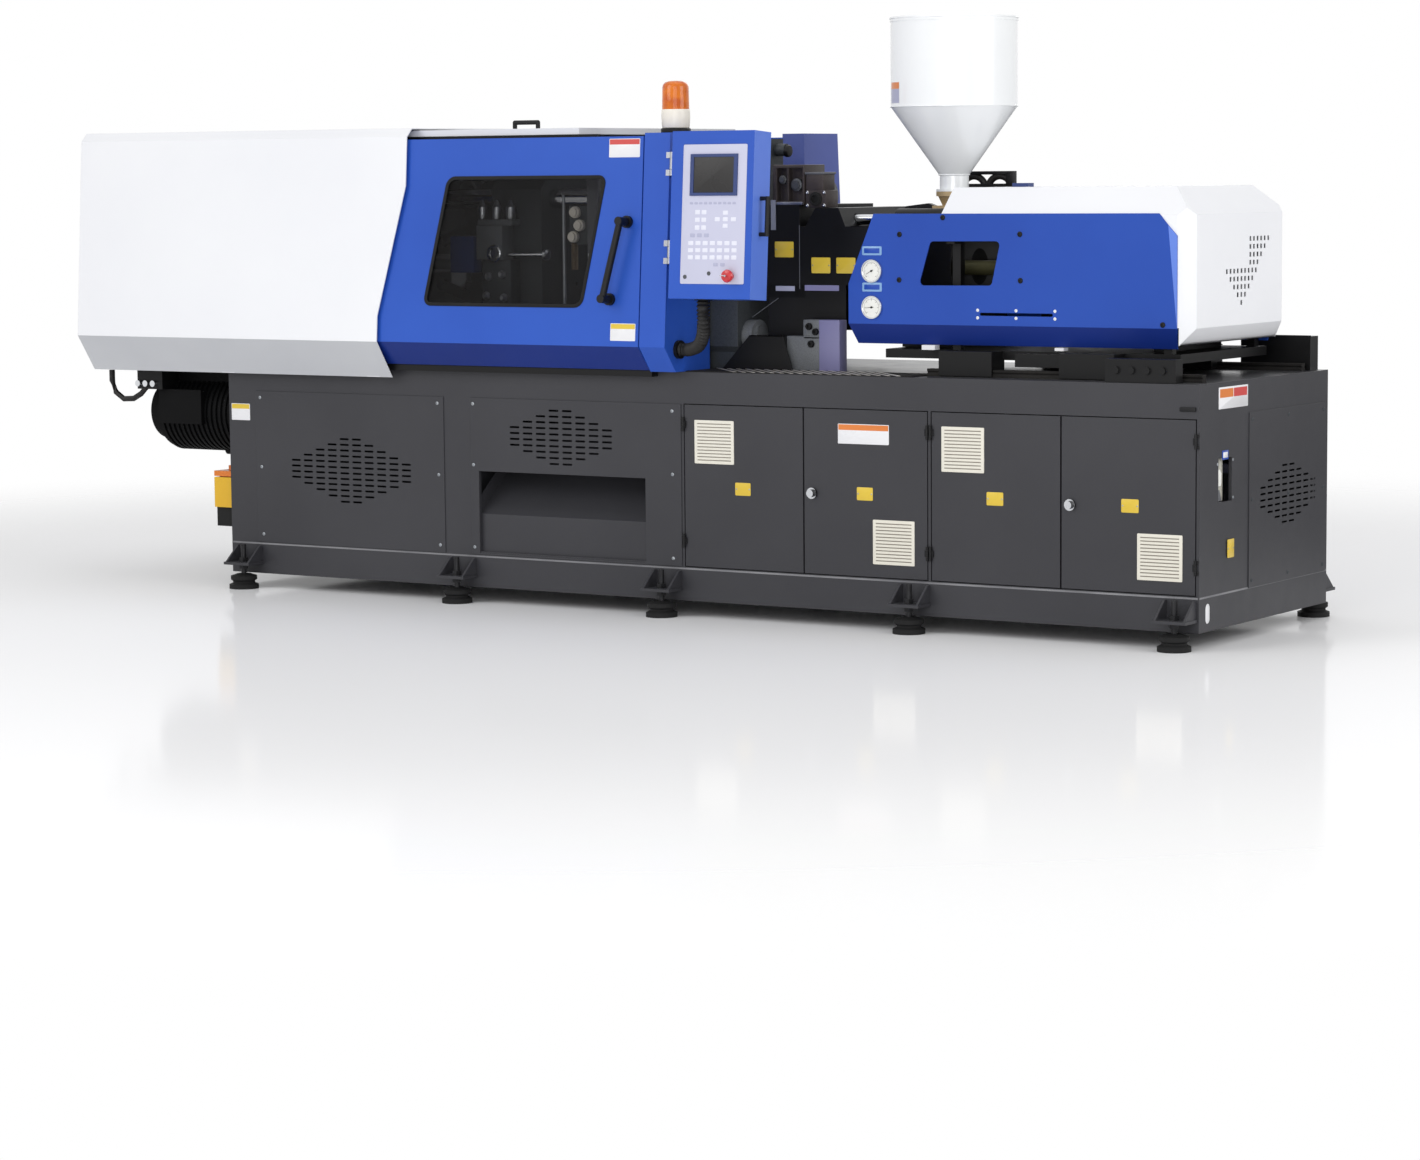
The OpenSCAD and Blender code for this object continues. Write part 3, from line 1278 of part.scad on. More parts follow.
module cabinet_door_1() { color([0.27, 0.28, 0.3]) place() cabinet_door(0); }
module cabinet_door_2() { color([0.27, 0.28, 0.3]) place() cabinet_door(1); }
module cabinet_door_3() { color([0.27, 0.28, 0.3]) place() cabinet_door(2); }
module cabinet_door_4() { color([0.27, 0.28, 0.3]) place() cabinet_door(3); }
module lock_knob_2() { color([0.8, 0.8, 0.82]) place() lock_knob(1); }
module lock_knob_4() { color([0.8, 0.8, 0.82]) place() lock_knob(3); }

// Control box, drawn upright at its own corner and leant back like the guards
module on_box() {
    translate([box_x, box_y, box_z]) rotate([-lean, 0, 0]) children();
}

// Hinges between the box and the column: knuckles on the box, pins on the column
hinge_dx = hinge_x - box_x;
hinge_dy = 70;
box_hinges = [120, 420];
module panel_hinges(moving) {
    on_box() for (z = box_hinges) translate([hinge_dx, hinge_dy, z]) {
        if (moving) difference() {
            union() {
                translate([0, 0, 21]) cylinder(h = 38, r = 9);
                translate([0, -4, 21]) cube([-hinge_dx + 1, 8, 38]);
            }
            cylinder(h = 80, r = 4 + fit, $fn = 24);
        }
        else {
            for (k = [0, 60]) translate([0, 0, k]) cylinder(h = 20, r = 9);
            for (k = [0, 60]) translate([-22, -4, k]) {
                cube([22, 8, 20]);
                translate([-1, 0, 0]) cube([6, 50, 20]);
            }
            cylinder(h = 80, r = 4, $fn = 24);
        }
    }
}

face = [[46, 302], [50, 520]];
screen_at = [[78, 266], [347, 487]];
module panel_box() {
    color([0.13, 0.32, 0.78]) place() {
        on_box() {
            difference() {
                union() {
                    cube([box_w, box_d, box_h]);
                    // Bezel of the screen
                    translate([screen_at[0][0], -5, screen_at[1][0]])
                        cube([screen_at[0][1] - screen_at[0][0], 6, screen_at[1][1] - screen_at[1][0]]);
                }
                translate([sheet, sheet, sheet]) cube([box_w - 2 * sheet, box_d, box_h - 2 * sheet]);
                // Shallow bed of the key foil and the screen opening
                difference() {
                    translate([face[0][0], -1, face[1][0]])
                        cube([face[0][1] - face[0][0], 2, face[1][1] - face[1][0]]);
                    translate([screen_at[0][0], -2, screen_at[1][0]])
                        cube([screen_at[0][1] - screen_at[0][0], 4, screen_at[1][1] - screen_at[1][0]]);
                }
                translate([screen_at[0][0] + 14, -6, screen_at[1][0] + 10])
                    cube([screen_at[0][1] - screen_at[0][0] - 28, 8,
                        screen_at[1][1] - screen_at[1][0] - 20]);
                translate([stop_pos[0], 10, stop_pos[1]]) rotate([90, 0, 0]) cylinder(h = 20, r = 11 + fit);
            }
            // Rear cover
            translate([0, box_d - sheet, 0]) cube([box_w, sheet, box_h]);
            // Side grip and the gland of the conduit
            for (z = [220, 340]) translate([box_w - 1, 50, z]) rotate([0, 90, 0]) cylinder(h = 30, r = 7);
            translate([box_w + 28, 50, 213]) cylinder(h = 134, r = 8);
            translate(conduit_at) cylinder(h = 4, r = 32);
        }
        panel_hinges(true);
    }
}

// Mushroom stop button and its key
module estop() {
    color([0.85, 0.1, 0.1]) place() on_box() translate([stop_pos[0], 0, stop_pos[1]]) rotate([90, 0, 0])
        difference() {
        rotate_extrude() polygon([[0, -8], [11, -8], [11, 14], [20, 18], [22, 26], [19, 33], [10, 36],
            [0, 36]]);
        cylinder(h = 40, r = 3.5 + fit, $fn = 24);
    }
}

module estop_key() {
    color([0.75, 0.75, 0.72]) place() on_box() translate([stop_pos[0], 0, stop_pos[1]]) rotate([90, 0, 0]) {
        translate([0, 0, 12]) cylinder(h = 28, r = 3.5, $fn = 24);
        translate([-9, -1.2, 38]) cube([18, 2.4, key_out - 38]);
    }
}

base_frame();
levelling_feet();
vent_panel();
chute_panel();
drop_chute();
end_panel();
rear_panels();
electrical_plate();
pump_unit();
lubrication_unit();
clamp_cover();
guard_frame();
front_column();
rear_column();
fixed_platen();
tie_bars();
nozzle_guard();
valve_block();
carriage_guides();
beacon();
panel_conduit();
deck_boxes();
front_door();
front_window();
front_handle();
rear_door();
rear_window();
roof_guard();
tail_platen();
clamp_cylinder();
crosshead();
rear_link_upper();
rear_link_lower();
front_link_upper();
front_link_lower();
cross_link_upper();
cross_link_lower();
moving_platen();
ejector();
carriage_base();
barrel();
injection_housing();
side_panels();
injection_shroud();
pressure_gauges();
hopper();
hopper_lid();
hopper_base();
hopper_gate();
injection_ram();
screw();
cabinet_door_1();
cabinet_door_2();
cabinet_door_3();
cabinet_door_4();
lock_knob_2();
lock_knob_4();
panel_box();
estop();
estop_key();
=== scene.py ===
import json
import math
import bpy
import bmesh
from mathutils import Matrix, Vector

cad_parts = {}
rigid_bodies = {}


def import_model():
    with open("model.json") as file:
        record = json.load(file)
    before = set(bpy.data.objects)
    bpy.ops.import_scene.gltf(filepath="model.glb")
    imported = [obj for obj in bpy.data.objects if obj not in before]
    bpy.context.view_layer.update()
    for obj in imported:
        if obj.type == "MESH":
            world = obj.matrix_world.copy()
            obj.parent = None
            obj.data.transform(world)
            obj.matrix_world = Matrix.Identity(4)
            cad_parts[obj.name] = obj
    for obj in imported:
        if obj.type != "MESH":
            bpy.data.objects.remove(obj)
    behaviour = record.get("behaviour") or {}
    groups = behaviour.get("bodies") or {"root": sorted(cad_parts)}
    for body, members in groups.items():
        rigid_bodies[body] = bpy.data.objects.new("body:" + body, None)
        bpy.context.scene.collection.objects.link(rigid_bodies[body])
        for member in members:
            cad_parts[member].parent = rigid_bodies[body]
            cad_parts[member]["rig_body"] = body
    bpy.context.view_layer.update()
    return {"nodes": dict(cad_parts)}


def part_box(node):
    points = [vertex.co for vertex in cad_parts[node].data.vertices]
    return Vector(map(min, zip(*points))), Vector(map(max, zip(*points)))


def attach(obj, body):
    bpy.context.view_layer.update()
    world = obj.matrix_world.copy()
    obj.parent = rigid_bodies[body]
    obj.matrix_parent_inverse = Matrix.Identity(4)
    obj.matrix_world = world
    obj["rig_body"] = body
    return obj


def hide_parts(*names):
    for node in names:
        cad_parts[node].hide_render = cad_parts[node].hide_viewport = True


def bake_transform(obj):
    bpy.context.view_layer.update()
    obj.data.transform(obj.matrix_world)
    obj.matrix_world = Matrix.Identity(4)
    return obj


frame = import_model()
nodes = frame["nodes"]
baseLow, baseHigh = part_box("base_frame")
corner = Vector((baseLow.x, baseHigh.y - 1.0, 0.0))  # left end, front face, floor
angle = math.radians
lean = math.atan(50 / 721)  # doors, columns and control box lean back alike


def at(x, y, z):
    return corner + Vector((x, y, z)) / 1000


def standing(x, y, z, turnZ=0, tilt=0):
    return Matrix.Translation(at(x, y, z)) @ Matrix.Rotation(turnZ, 4, "Z") @ Matrix.Rotation(tilt, 4, "X")


machinePlace = standing(0, 0, 0)
doorPlace = standing(0, -115, 938, 0, -lean)  # on the front door's leaning face, from its fold
rearDoorPlace = (Matrix.Translation(at(0, 1000, 0)) @ Matrix.Scale(-1, 4, (0, 1, 0))
                 @ Matrix.Translation(-at(0, 0, 0)) @ doorPlace)
boxPlace = standing(2107, -190, 1109, 0, -lean)  # lower left front corner of the control box
endPlace = standing(4003, 0, 0, angle(90))  # end face, seen from the right


# Colours are given as they look on screen, 0 to 255
def colour(red, green, blue):
    def straight(value):
        value /= 255
        return value / 12.92 if value <= 0.04045 else ((value + 0.055) / 1.055) ** 2.4
    return (straight(red), straight(green), straight(blue), 1.0)


# A shader node with its settings, and a constant or another node's output for each socket
def addNode(tree, kind, sockets, **settings):
    made = tree.nodes.new(kind)
    for key, value in settings.items():
        setattr(made, key, value)
    for key, value in sockets.items():
        if isinstance(value, bpy.types.NodeSocket):
            tree.links.new(value, made.inputs[key])
        else:
            made.inputs[key].default_value = value
    return made


finishes = {}


# One finish: colour drift over the piece, fine grain in gloss and relief, soft edges
def mixFinish(name, base, second, rough, grain, relief, drift=1.4, roughSpread=0.08, metal=0.0, stretch=(1, 1, 1),
              edge=0.0, coat=0.0, alpha=1.0, glow=0.0, specular=0.5, speck=0.0, ior=1.5):
    finish = bpy.data.materials.new(name)
    finish.use_nodes = True
    tree = finish.node_tree
    place = tree.nodes.new("ShaderNodeTexCoord")
    mapping = addNode(tree, "ShaderNodeMapping", {"Scale": stretch, "Vector": place.outputs["Object"]})

    def noise(scale, detail):
        vector = mapping.outputs["Vector"]
        return addNode(tree, "ShaderNodeTexNoise", {"Scale": scale, "Detail": detail, "Vector": vector}).outputs["Fac"]

    fine = noise(grain, 2)
    spread = addNode(tree, "ShaderNodeMapRange", {"From Min": 0.35, "From Max": 0.65, "Value": noise(drift, 4)})
    tone = addNode(tree, "ShaderNodeMix", {"Factor": spread.outputs["Result"], "A": base, "B": second},
                   data_type="RGBA")
    if speck:
        ramp = addNode(tree, "ShaderNodeValToRGB", {"Fac": fine})
        ramp.color_ramp.elements[0].position = 0.35
        ramp.color_ramp.elements[1].position = 0.6
        mixed = {"Factor": speck, "A": tone.outputs["Result"], "B": ramp.outputs["Color"]}
        tone = addNode(tree, "ShaderNodeMix", mixed, data_type="RGBA", blend_type="MULTIPLY")
    glossSpan = {"To Min": max(rough - roughSpread, 0.02), "To Max": rough + roughSpread}
    gloss = addNode(tree, "ShaderNodeMapRange", {**glossSpan, "Value": noise(drift * 9, 6)})
    bump = addNode(tree, "ShaderNodeBump", {"Strength": relief, "Distance": 0.0006, "Height": fine})
    if edge:
        soft = addNode(tree, "ShaderNodeBevel", {"Radius": edge}, samples=4)
        tree.links.new(soft.outputs["Normal"], bump.inputs["Normal"])
    shader = tree.nodes["Principled BSDF"]
    tree.links.new(tone.outputs["Result"], shader.inputs["Base Color"])
    tree.links.new(gloss.outputs["Result"], shader.inputs["Roughness"])
    tree.links.new(bump.outputs["Normal"], shader.inputs["Normal"])
    shader.inputs["Metallic"].default_value = metal
    shader.inputs["Coat Weight"].default_value = coat
    shader.inputs["Alpha"].default_value = alpha
    shader.inputs["IOR"].default_value = ior
    shader.inputs["Specular IOR Level"].default_value = specular
    if glow:
        shader.inputs["Emission Color"].default_value = base
        shader.inputs["Emission Strength"].default_value = glow
    finishes[name] = finish


# Base and second colour, roughness, grain, relief, and what else differs from plain paint
finishTable = {
    "graphitePaint": ((61, 61, 65), (55, 55, 59), 0.42, 900, 0.12, dict(edge=0.002, speck=0.12, specular=0.3)),
    "deckPaint": ((60, 60, 63), (50, 50, 53), 0.34, 700, 0.06, dict(edge=0.002, speck=0.1, specular=0.35)),
    "whitePaint": ((241, 242, 245), (237, 238, 242), 0.5, 500, 0.05, dict(edge=0.003, specular=0.1)),
    "doorBlue": ((44, 88, 188), (38, 80, 178), 0.36, 520, 0.05, dict(edge=0.002, specular=0.28)),
    "panelBlue": ((34, 76, 172), (30, 70, 164), 0.34, 520, 0.05, dict(edge=0.002, specular=0.3)),
    # painted shade: the rear column's blue, greyed as it looks in shade
    "paintedShadeGreyBlue": ((84, 98, 168), (76, 90, 158), 0.42, 520, 0.05, dict(edge=0.002, specular=0.3)),
    "navyPaint": ((34, 58, 118), (30, 50, 104), 0.4, 500, 0.05, {}),
    "blackPaint": ((19, 19, 20), (14, 14, 15), 0.4, 800, 0.08, dict(edge=0.0015, speck=0.15, specular=0.22)),
    "blackPlastic": ((17, 17, 19), (12, 12, 14), 0.46, 1500, 0.2, dict(specular=0.25)),
    "rubber": ((26, 26, 27), (34, 34, 34), 0.72, 1100, 0.35, dict(speck=0.25, specular=0.2)),
    "brightSteel": ((214, 216, 219), (196, 198, 202), 0.16, 300, 0.03,
        dict(roughSpread=0.05, metal=1.0, stretch=(0.15, 1, 1))),
    "satinSteel": ((186, 188, 192), (160, 162, 167), 0.36, 420, 0.08, dict(metal=1.0, stretch=(1, 1, 0.2))),
    "galvanised": ((168, 172, 176), (140, 145, 150), 0.44, 260, 0.05, dict(drift=22, metal=0.85, speck=0.1)),
    "castIron": ((122, 125, 128), (106, 109, 113), 0.55, 240, 0.25,
        dict(metal=0.15, edge=0.002, speck=0.2, specular=0.3)),
    "machinedIron": ((152, 155, 160), (128, 131, 136), 0.34, 380, 0.1, dict(metal=0.9, stretch=(1, 0.2, 1))),
    "valveIron": ((92, 94, 98), (70, 72, 76), 0.44, 300, 0.2, dict(metal=0.4, edge=0.0015, speck=0.2)),
    "heaterSteel": ((150, 134, 112), (118, 104, 88), 0.38, 320, 0.08, dict(drift=9, metal=0.9)),
    "smokedGlass": ((16, 14, 14), (20, 18, 17), 0.05, 30, 0.0, dict(roughSpread=0.02, alpha=0.34, specular=0.22)),
    "screenGlass": ((44, 43, 43), (50, 49, 49), 0.28, 900, 0.02, dict(roughSpread=0.06, specular=0.25)),
    "keyFoil": ((201, 202, 222), (195, 196, 218), 0.42, 1200, 0.04, dict(specular=0.3)),
    "keyLight": ((228, 229, 241), (222, 223, 237), 0.34, 1200, 0.03, {}),
    "keyGrey": ((178, 180, 204), (168, 170, 196), 0.36, 1200, 0.03, {}),
    "louvreCream": ((232, 228, 216), (224, 220, 207), 0.46, 700, 0.08, dict(edge=0.001)),
    "plateWhite": ((236, 236, 238), (228, 228, 231), 0.3, 900, 0.02, {}),
    "plateYellow": ((226, 196, 66), (216, 184, 56), 0.32, 900, 0.02, {}),
    "plateRed": ((206, 74, 70), (196, 64, 62), 0.32, 900, 0.02, {}),
    "plateOrange": ((226, 132, 62), (216, 122, 54), 0.32, 900, 0.02, {}),
    "plateBlue": ((132, 172, 214), (120, 160, 206), 0.3, 900, 0.02, {}),
    "lavender": ((136, 134, 176), (124, 122, 164), 0.4, 700, 0.05, {}),
    "amberLens": ((226, 120, 10), (196, 84, 4), 0.12, 200, 0.02,
        dict(drift=30, coat=0.3, alpha=0.94, glow=0.03, specular=0.3)),
    "creamPlastic": ((244, 238, 226), (236, 229, 214), 0.36, 900, 0.04, {}),
    "redPlastic": ((200, 34, 40), (184, 26, 32), 0.26, 900, 0.03, dict(coat=0.4)),
    "yellowPlastic": ((232, 186, 40), (222, 172, 30), 0.34, 800, 0.05, {}),
    "orangePlastic": ((226, 128, 44), (214, 114, 36), 0.34, 800, 0.05, {}),
    "oilGlass": ((206, 205, 198), (176, 174, 160), 0.2, 300, 0.0, dict(coat=0.4)),
    "tanCast": ((196, 172, 132), (176, 152, 112), 0.52, 340, 0.3, dict(metal=0.3, speck=0.2)),
    "hopperWhite": ((243, 245, 246), (238, 240, 242), 0.2, 500, 0.02, dict(drift=2.2, roughSpread=0.04, ior=1.8)),
    "pumpBlack": ((9, 9, 10), (14, 14, 15), 0.6, 700, 0.1, dict(specular=0.08)),
    "footBlack": ((30, 30, 32), (44, 44, 46), 0.4, 700, 0.1, dict(drift=20, metal=0.3, specular=0.25)),
    "valveBrown": ((74, 67, 66), (58, 52, 52), 0.44, 300, 0.2,
        dict(drift=12, metal=0.2, edge=0.0015, speck=0.2, specular=0.3)),
    # painted highlight: a lighter grey strip along the rail's edge
    "paintedEdgeHighlight": ((132, 132, 135), (104, 104, 108), 0.4, 700, 0.05, dict(drift=5)),
    # painted shade: a darker backing seen through the louvre slots
    "paintedSlotShade": ((158, 152, 142), (140, 134, 124), 0.7, 900, 0.2, dict(specular=0.1)),
    # painted highlight: light tread ribs standing in for glints
    "treadHighlight": ((206, 202, 196), (168, 164, 158), 0.36, 300, 0.08, dict(drift=7, metal=0.2, specular=0.4)),
    # painted shade: a grey for the white cover's downward and lowest faces
    "paintedShadeGrey": ((197, 199, 203), (189, 191, 196), 0.36, 500, 0.05, {}),
    # painted light: a lighter blue for side faces that catch more light
    "paintedLitBlue": ((98, 132, 222), (88, 122, 214), 0.36, 520, 0.05, {}),
    # painted shade: a darker blue for faces that look down
    "paintedShadeBlue": ((20, 46, 126), (18, 42, 118), 0.4, 520, 0.05, dict(specular=0.25)),
    "oliveSteel": ((84, 82, 54), (66, 64, 42), 0.5, 420, 0.08, dict(metal=0.3, specular=0.2)),
    "platenIron": ((76, 80, 83), (64, 68, 72), 0.55, 240, 0.25, dict(metal=0.15, edge=0.002, speck=0.2, specular=0.3)),
    "treadDark": ((40, 39, 39), (56, 54, 52), 0.75, 300, 0.1, dict(drift=6, speck=0.2, specular=0.08)),
    "duskGrey": ((96, 98, 104), (84, 86, 92), 0.5, 420, 0.08, {}),
    "dialWhite": ((238, 238, 232), (230, 230, 224), 0.3, 900, 0.01, {}),
    "hose": ((33, 31, 30), (22, 21, 21), 0.5, 1800, 0.3, dict(drift=12, specular=0.3)),
}
for name, (base, second, rough, grain, relief, more) in finishTable.items():
    mixFinish(name, colour(*base), colour(*second), rough, grain, relief, **more)
print("finishes ready:", len(finishes))


# Modelling by hand: shapes are drawn in millimetres of their own place
def clearPick():
    if bpy.context.mode != "OBJECT":
        bpy.ops.object.mode_set(mode="OBJECT")
    bpy.ops.object.select_all(action="DESELECT")


def take(*things):
    clearPick()
    for thing in things:
        thing.select_set(True)
    bpy.context.view_layer.objects.active = things[0]


def settle(piece):
    take(piece)
    bpy.ops.object.transform_apply(location=True, rotation=True, scale=True)


def addObject(name, data):
    made = bpy.data.objects.new(name, data)
    bpy.context.scene.collection.objects.link(made)
    return made


# Edit mode with the whole mesh selected, and back
def openEdit(piece):
    take(piece)
    bpy.ops.object.mode_set(mode="EDIT")
    bpy.ops.mesh.select_all(action="SELECT")


def closeEdit():
    bpy.ops.object.mode_set(mode="OBJECT")


def addBlock(x, y, z):
    clearPick()
    middle = [sum(pair) / 2000 for pair in (x, y, z)]
    bpy.ops.mesh.primitive_cube_add(size=1, location=middle)
    piece = bpy.context.object
    piece.scale = [abs(pair[1] - pair[0]) / 1000 for pair in (x, y, z)]
    settle(piece)
    return piece


# A turned piece: a disc extruded and resized along its profile of (radius, height)
def addTurned(profile, sides=40, start=(0, 0, 0), towards=(0, 0, 1)):
    clearPick()
    radius, height = profile[0]
    bpy.ops.mesh.primitive_circle_add(vertices=sides, radius=radius / 1000, fill_type="NGON",
                                      location=(0, 0, height / 1000))
    piece = bpy.context.object
    settle(piece)
    openEdit(piece)
    for nextRadius, nextHeight in profile[1:]:
        bpy.ops.mesh.extrude_region_move(TRANSFORM_OT_translate={"value": (0, 0, (nextHeight - height) / 1000)})
        share = nextRadius / radius
        bpy.ops.transform.resize(value=(share, share, 1), center_override=(0, 0, nextHeight / 1000))
        radius, height = nextRadius, nextHeight
    bpy.ops.mesh.select_all(action="SELECT")
    bpy.ops.mesh.normals_make_consistent(inside=False)
    closeEdit()
    aim = Vector((0, 0, 1)).rotation_difference(Vector(towards)).to_matrix().to_4x4()
    piece.matrix_world = Matrix.Translation(Vector(start) / 1000) @ aim
    settle(piece)
    return piece


def addRod(begin, end, radius, sides=28, edge=0.0):
    run = Vector(end) - Vector(begin)
    edge = min(edge or radius * 0.12, run.length / 4)
    profile = [(radius - edge, 0), (radius, edge), (radius, run.length - edge), (radius - edge, run.length)]
    return addTurned(profile, sides, begin, run)


# Picks faces, edges or corners by a test of their middle (mm) and direction
def pick(piece, test, kind="FACE"):
    take(piece)
    bpy.ops.object.mode_set(mode="EDIT")
    bpy.ops.mesh.select_mode(type=kind)
    bpy.ops.mesh.select_all(action="DESELECT")
    shape = bmesh.from_edit_mesh(piece.data)
    if kind == "FACE":
        for part in shape.faces:
            part.select_set(test(part.calc_center_median() * 1000, part.normal))
    elif kind == "EDGE":
        for part in shape.edges:
            first, second = (corner.co for corner in part.verts)
            part.select_set(test((first + second) * 500, (second - first).normalized()))
    else:
        for part in shape.verts:
            part.select_set(test(part.co * 1000, None))
    bmesh.update_edit_mesh(piece.data)


# A modifier with its settings, applied at once
def modify(piece, kind, **settings):
    take(piece)
    bpy.ops.object.modifier_add(type=kind)
    modifier = piece.modifiers[-1]
    for key, value in settings.items():
        setattr(modifier, key, value)
    bpy.ops.object.modifier_apply(modifier=modifier.name)
    return piece


def roundEdges(piece, width=1.0, steps=2, limit=40):
    return modify(piece, "BEVEL", width=width / 1000, segments=steps, limit_method="ANGLE", angle_limit=angle(limit))


# A flat plate with round corners, its face towards -Y
def addPlate(x, y, z, radius=4.0, edge=0.4, steps=4):
    piece = addBlock(x, y, z)
    pick(piece, lambda middle, way: abs(way.y) > 0.9, "EDGE")
    bpy.ops.mesh.bevel(offset=radius / 1000, segments=steps, affect="EDGES")
    front = min(y)
    pick(piece, lambda middle, normal: normal.y < -0.9 and abs(middle.y - front) < 0.01)
    bpy.ops.mesh.inset(thickness=edge / 1000, depth=0)
    bpy.ops.transform.translate(value=(0, -0.0002, 0))
    closeEdit()
    return piece


def cutHole(piece, cutter):
    modify(piece, "BOOLEAN", object=cutter, solver="EXACT")
    bpy.data.objects.remove(cutter)
    return piece


def repeat(piece, count, step):
    return modify(piece, "ARRAY", count=count, use_relative_offset=False, use_constant_offset=True,
                  constant_offset_displace=[value / 1000 for value in step])


def coat(piece, finishName):
    piece.data.materials.clear()
    piece.data.materials.append(finishes[finishName])
    return piece


def join(*pieces):
    take(*pieces)
    if len(pieces) > 1:
        bpy.ops.object.join()
    return pieces[0]


def copyTo(piece, places):
    copies = []
    for place in places:
        twin = addObject("twin", piece.data.copy())
        twin.matrix_world = place
        settle(twin)
        copies.append(twin)
    bpy.data.objects.remove(piece)
    return join(*copies)


# Blocks of one piece: spans along X, Y and Z, rounding and finish
def addBars(bars):
    return [coat(roundEdges(addBlock(x, y, z), soft) if soft else addBlock(x, y, z), finishName)
            for x, y, z, soft, finishName in bars]


# Turned heads of one shape at several spots
def addHeads(profile, spots, finishName, sides=24, way=(0, -1, 0)):
    return [coat(addTurned(profile, sides, spot, way), finishName) for spot in spots]


def finishPiece(piece, name, body, place=machinePlace, smooth=35):
    piece.matrix_world = place
    settle(piece)
    if place.determinant() < 0:
        openEdit(piece)
        bpy.ops.mesh.flip_normals()
        closeEdit()
    bpy.ops.object.shade_smooth_by_angle(angle=angle(smooth))
    piece.name = name
    piece.data.name = name
    if body:
        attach(piece, body)
    return piece


# Even points along a soft line through the given ones
def softLine(points, step=6.0):
    points = [Vector(p) for p in points]
    padded = [2 * points[0] - points[1]] + points + [2 * points[-1] - points[-2]]
    dense = []
    for i in range(1, len(padded) - 2):
        a, b, c, d = padded[i - 1:i + 3]
        for k in range(24):
            t = k / 24
            dense.append(0.5 * (2 * b + (c - a) * t + (2 * a - 5 * b + 4 * c - d) * t * t
                                + (3 * b - a - 3 * c + d) * t ** 3))
    dense.append(points[-1])
    total = sum((q - p).length for p, q in zip(dense, dense[1:]))
    count = max(4, round(total / step))
    line, walked, goal = [dense[0]], 0.0, total / count
    for p, q in zip(dense, dense[1:]):
        run = (q - p).length
        while walked + run >= goal - 1e-6 and len(line) <= count:
            line.append(p + (q - p) * max(0.0, (goal - walked) / run))
            goal += total / count
        walked += run
    return line


# A hose or wire along a soft line; ribs make it corrugated
def addHose(points, radius, step=6.0, ribs=0.0, sides=6):
    clearPick()
    line = softLine(points, step)
    curve = bpy.data.curves.new("hose", "CURVE")
    curve.dimensions = "3D"
    spline = curve.splines.new("POLY")
    spline.points.add(len(line) - 1)
    for i, (point, spot) in enumerate(zip(spline.points, line)):
        point.co = (*(spot / 1000), 1)
        point.radius = 1 - (ribs if i % 2 else 0)
    curve.bevel_depth = radius / 1000
    curve.bevel_resolution = sides
    curve.use_fill_caps = True
    take(addObject("hose", curve))
    bpy.ops.object.convert(target="MESH")
    return bpy.context.object


# A copy of a solid, merged and smoothed, with a finish for each region of it
def dressNode(node, name, regions, smooth=30):
    source = nodes[node]
    piece = addObject(name, source.data.copy())
    openEdit(piece)
    bpy.ops.mesh.remove_doubles(threshold=0.00002)
    closeEdit()
    bpy.ops.mesh.customdata_custom_splitnormals_clear()
    piece.data.materials.clear()
    for finishName, test in regions:
        piece.data.materials.append(finishes[finishName])
    for face in piece.data.polygons:
        middle = (face.center - corner) * 1000
        face.material_index = next((i for i in range(len(regions) - 1, 0, -1) if regions[i][1](middle, face.normal)), 0)
    bpy.ops.object.shade_smooth_by_angle(angle=angle(smooth))
    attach(piece, source["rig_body"])
    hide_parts(node)
    return piece


# Camera, floor and light
cameraView = {"place": (9138.02, -10780.45, 1533.87), "yaw": 32.97857, "down": 6.22493, "roll": -0.51487,
              "lens": 94.785}
camera = addObject("camera", bpy.data.cameras.new("camera"))
camera.data.lens = cameraView["lens"]
camera.data.sensor_width = 36
camera.matrix_world = (standing(*cameraView["place"], angle(cameraView["yaw"]), angle(90 - cameraView["down"]))
                       @ Matrix.Rotation(angle(cameraView["roll"]), 4, "Z"))
bpy.context.scene.camera = camera
bpy.context.scene.view_settings.view_transform = "Standard"

studio = {"sky": 0.5, "floorTone": (0.97, 0.97, 0.98, 1), "darkTone": colour(40, 40, 44), "fadeFrom": 3.4,
          "fadeTo": 6.5, "sheen": 0.18, "darkFrom": 2.0}
lamps = {
    "keyLamp": dict(place=(-3.5, -7.5, 5.5), size=5.0, power=208),
    "frontLamp": dict(place=(4.5, -8.5, 3.2), size=5.0, power=150),
    "endLamp": dict(place=(8.0, -0.5, 3.4), size=4.0, power=150),
    "backLamp": dict(place=(-1.0, 7.5, 5.0), size=5.0, power=105),
    "lowLamp": dict(place=(3.2, -7.0, 0.7), size=3.0, power=70),
    "topLamp": dict(place=(0.5, 0.0, 7.0), size=6.0, power=70),
}
for name, values in lamps.items():
    lamp = addObject(name, bpy.data.lights.new(name, "AREA"))
    lamp.data.size = values["size"]
    lamp.data.energy = values["power"]
    lamp.location = values["place"]
    lamp.rotation_euler = (Vector((0, 0, 0.9)) - lamp.location).to_track_quat("-Z", "Y").to_euler()

world = bpy.data.worlds.new("studio")
bpy.context.scene.world = world
world.use_nodes = True
sky = world.node_tree
softSky = sky.nodes["Background"]
softSky.inputs["Color"].default_value = (1, 1, 1, 1)
softSky.inputs["Strength"].default_value = studio["sky"]
whiteSky = addNode(sky, "ShaderNodeBackground", {"Color": (1, 1, 1, 1), "Strength": 1.0})
skyRays = sky.nodes.new("ShaderNodeLightPath").outputs
seen = addNode(sky, "ShaderNodeMath", {0: skyRays["Is Camera Ray"], 1: skyRays["Is Glossy Ray"]}, operation="MAXIMUM")
seen = addNode(sky, "ShaderNodeMath", {0: seen.outputs[0], 1: skyRays["Is Transmission Ray"]}, operation="MAXIMUM")
shownSky = addNode(sky, "ShaderNodeMixShader", {"Fac": seen.outputs[0], 1: softSky.outputs[0], 2: whiteSky.outputs[0]})
sky.links.new(shownSky.outputs[0], sky.nodes["World Output"].inputs["Surface"])

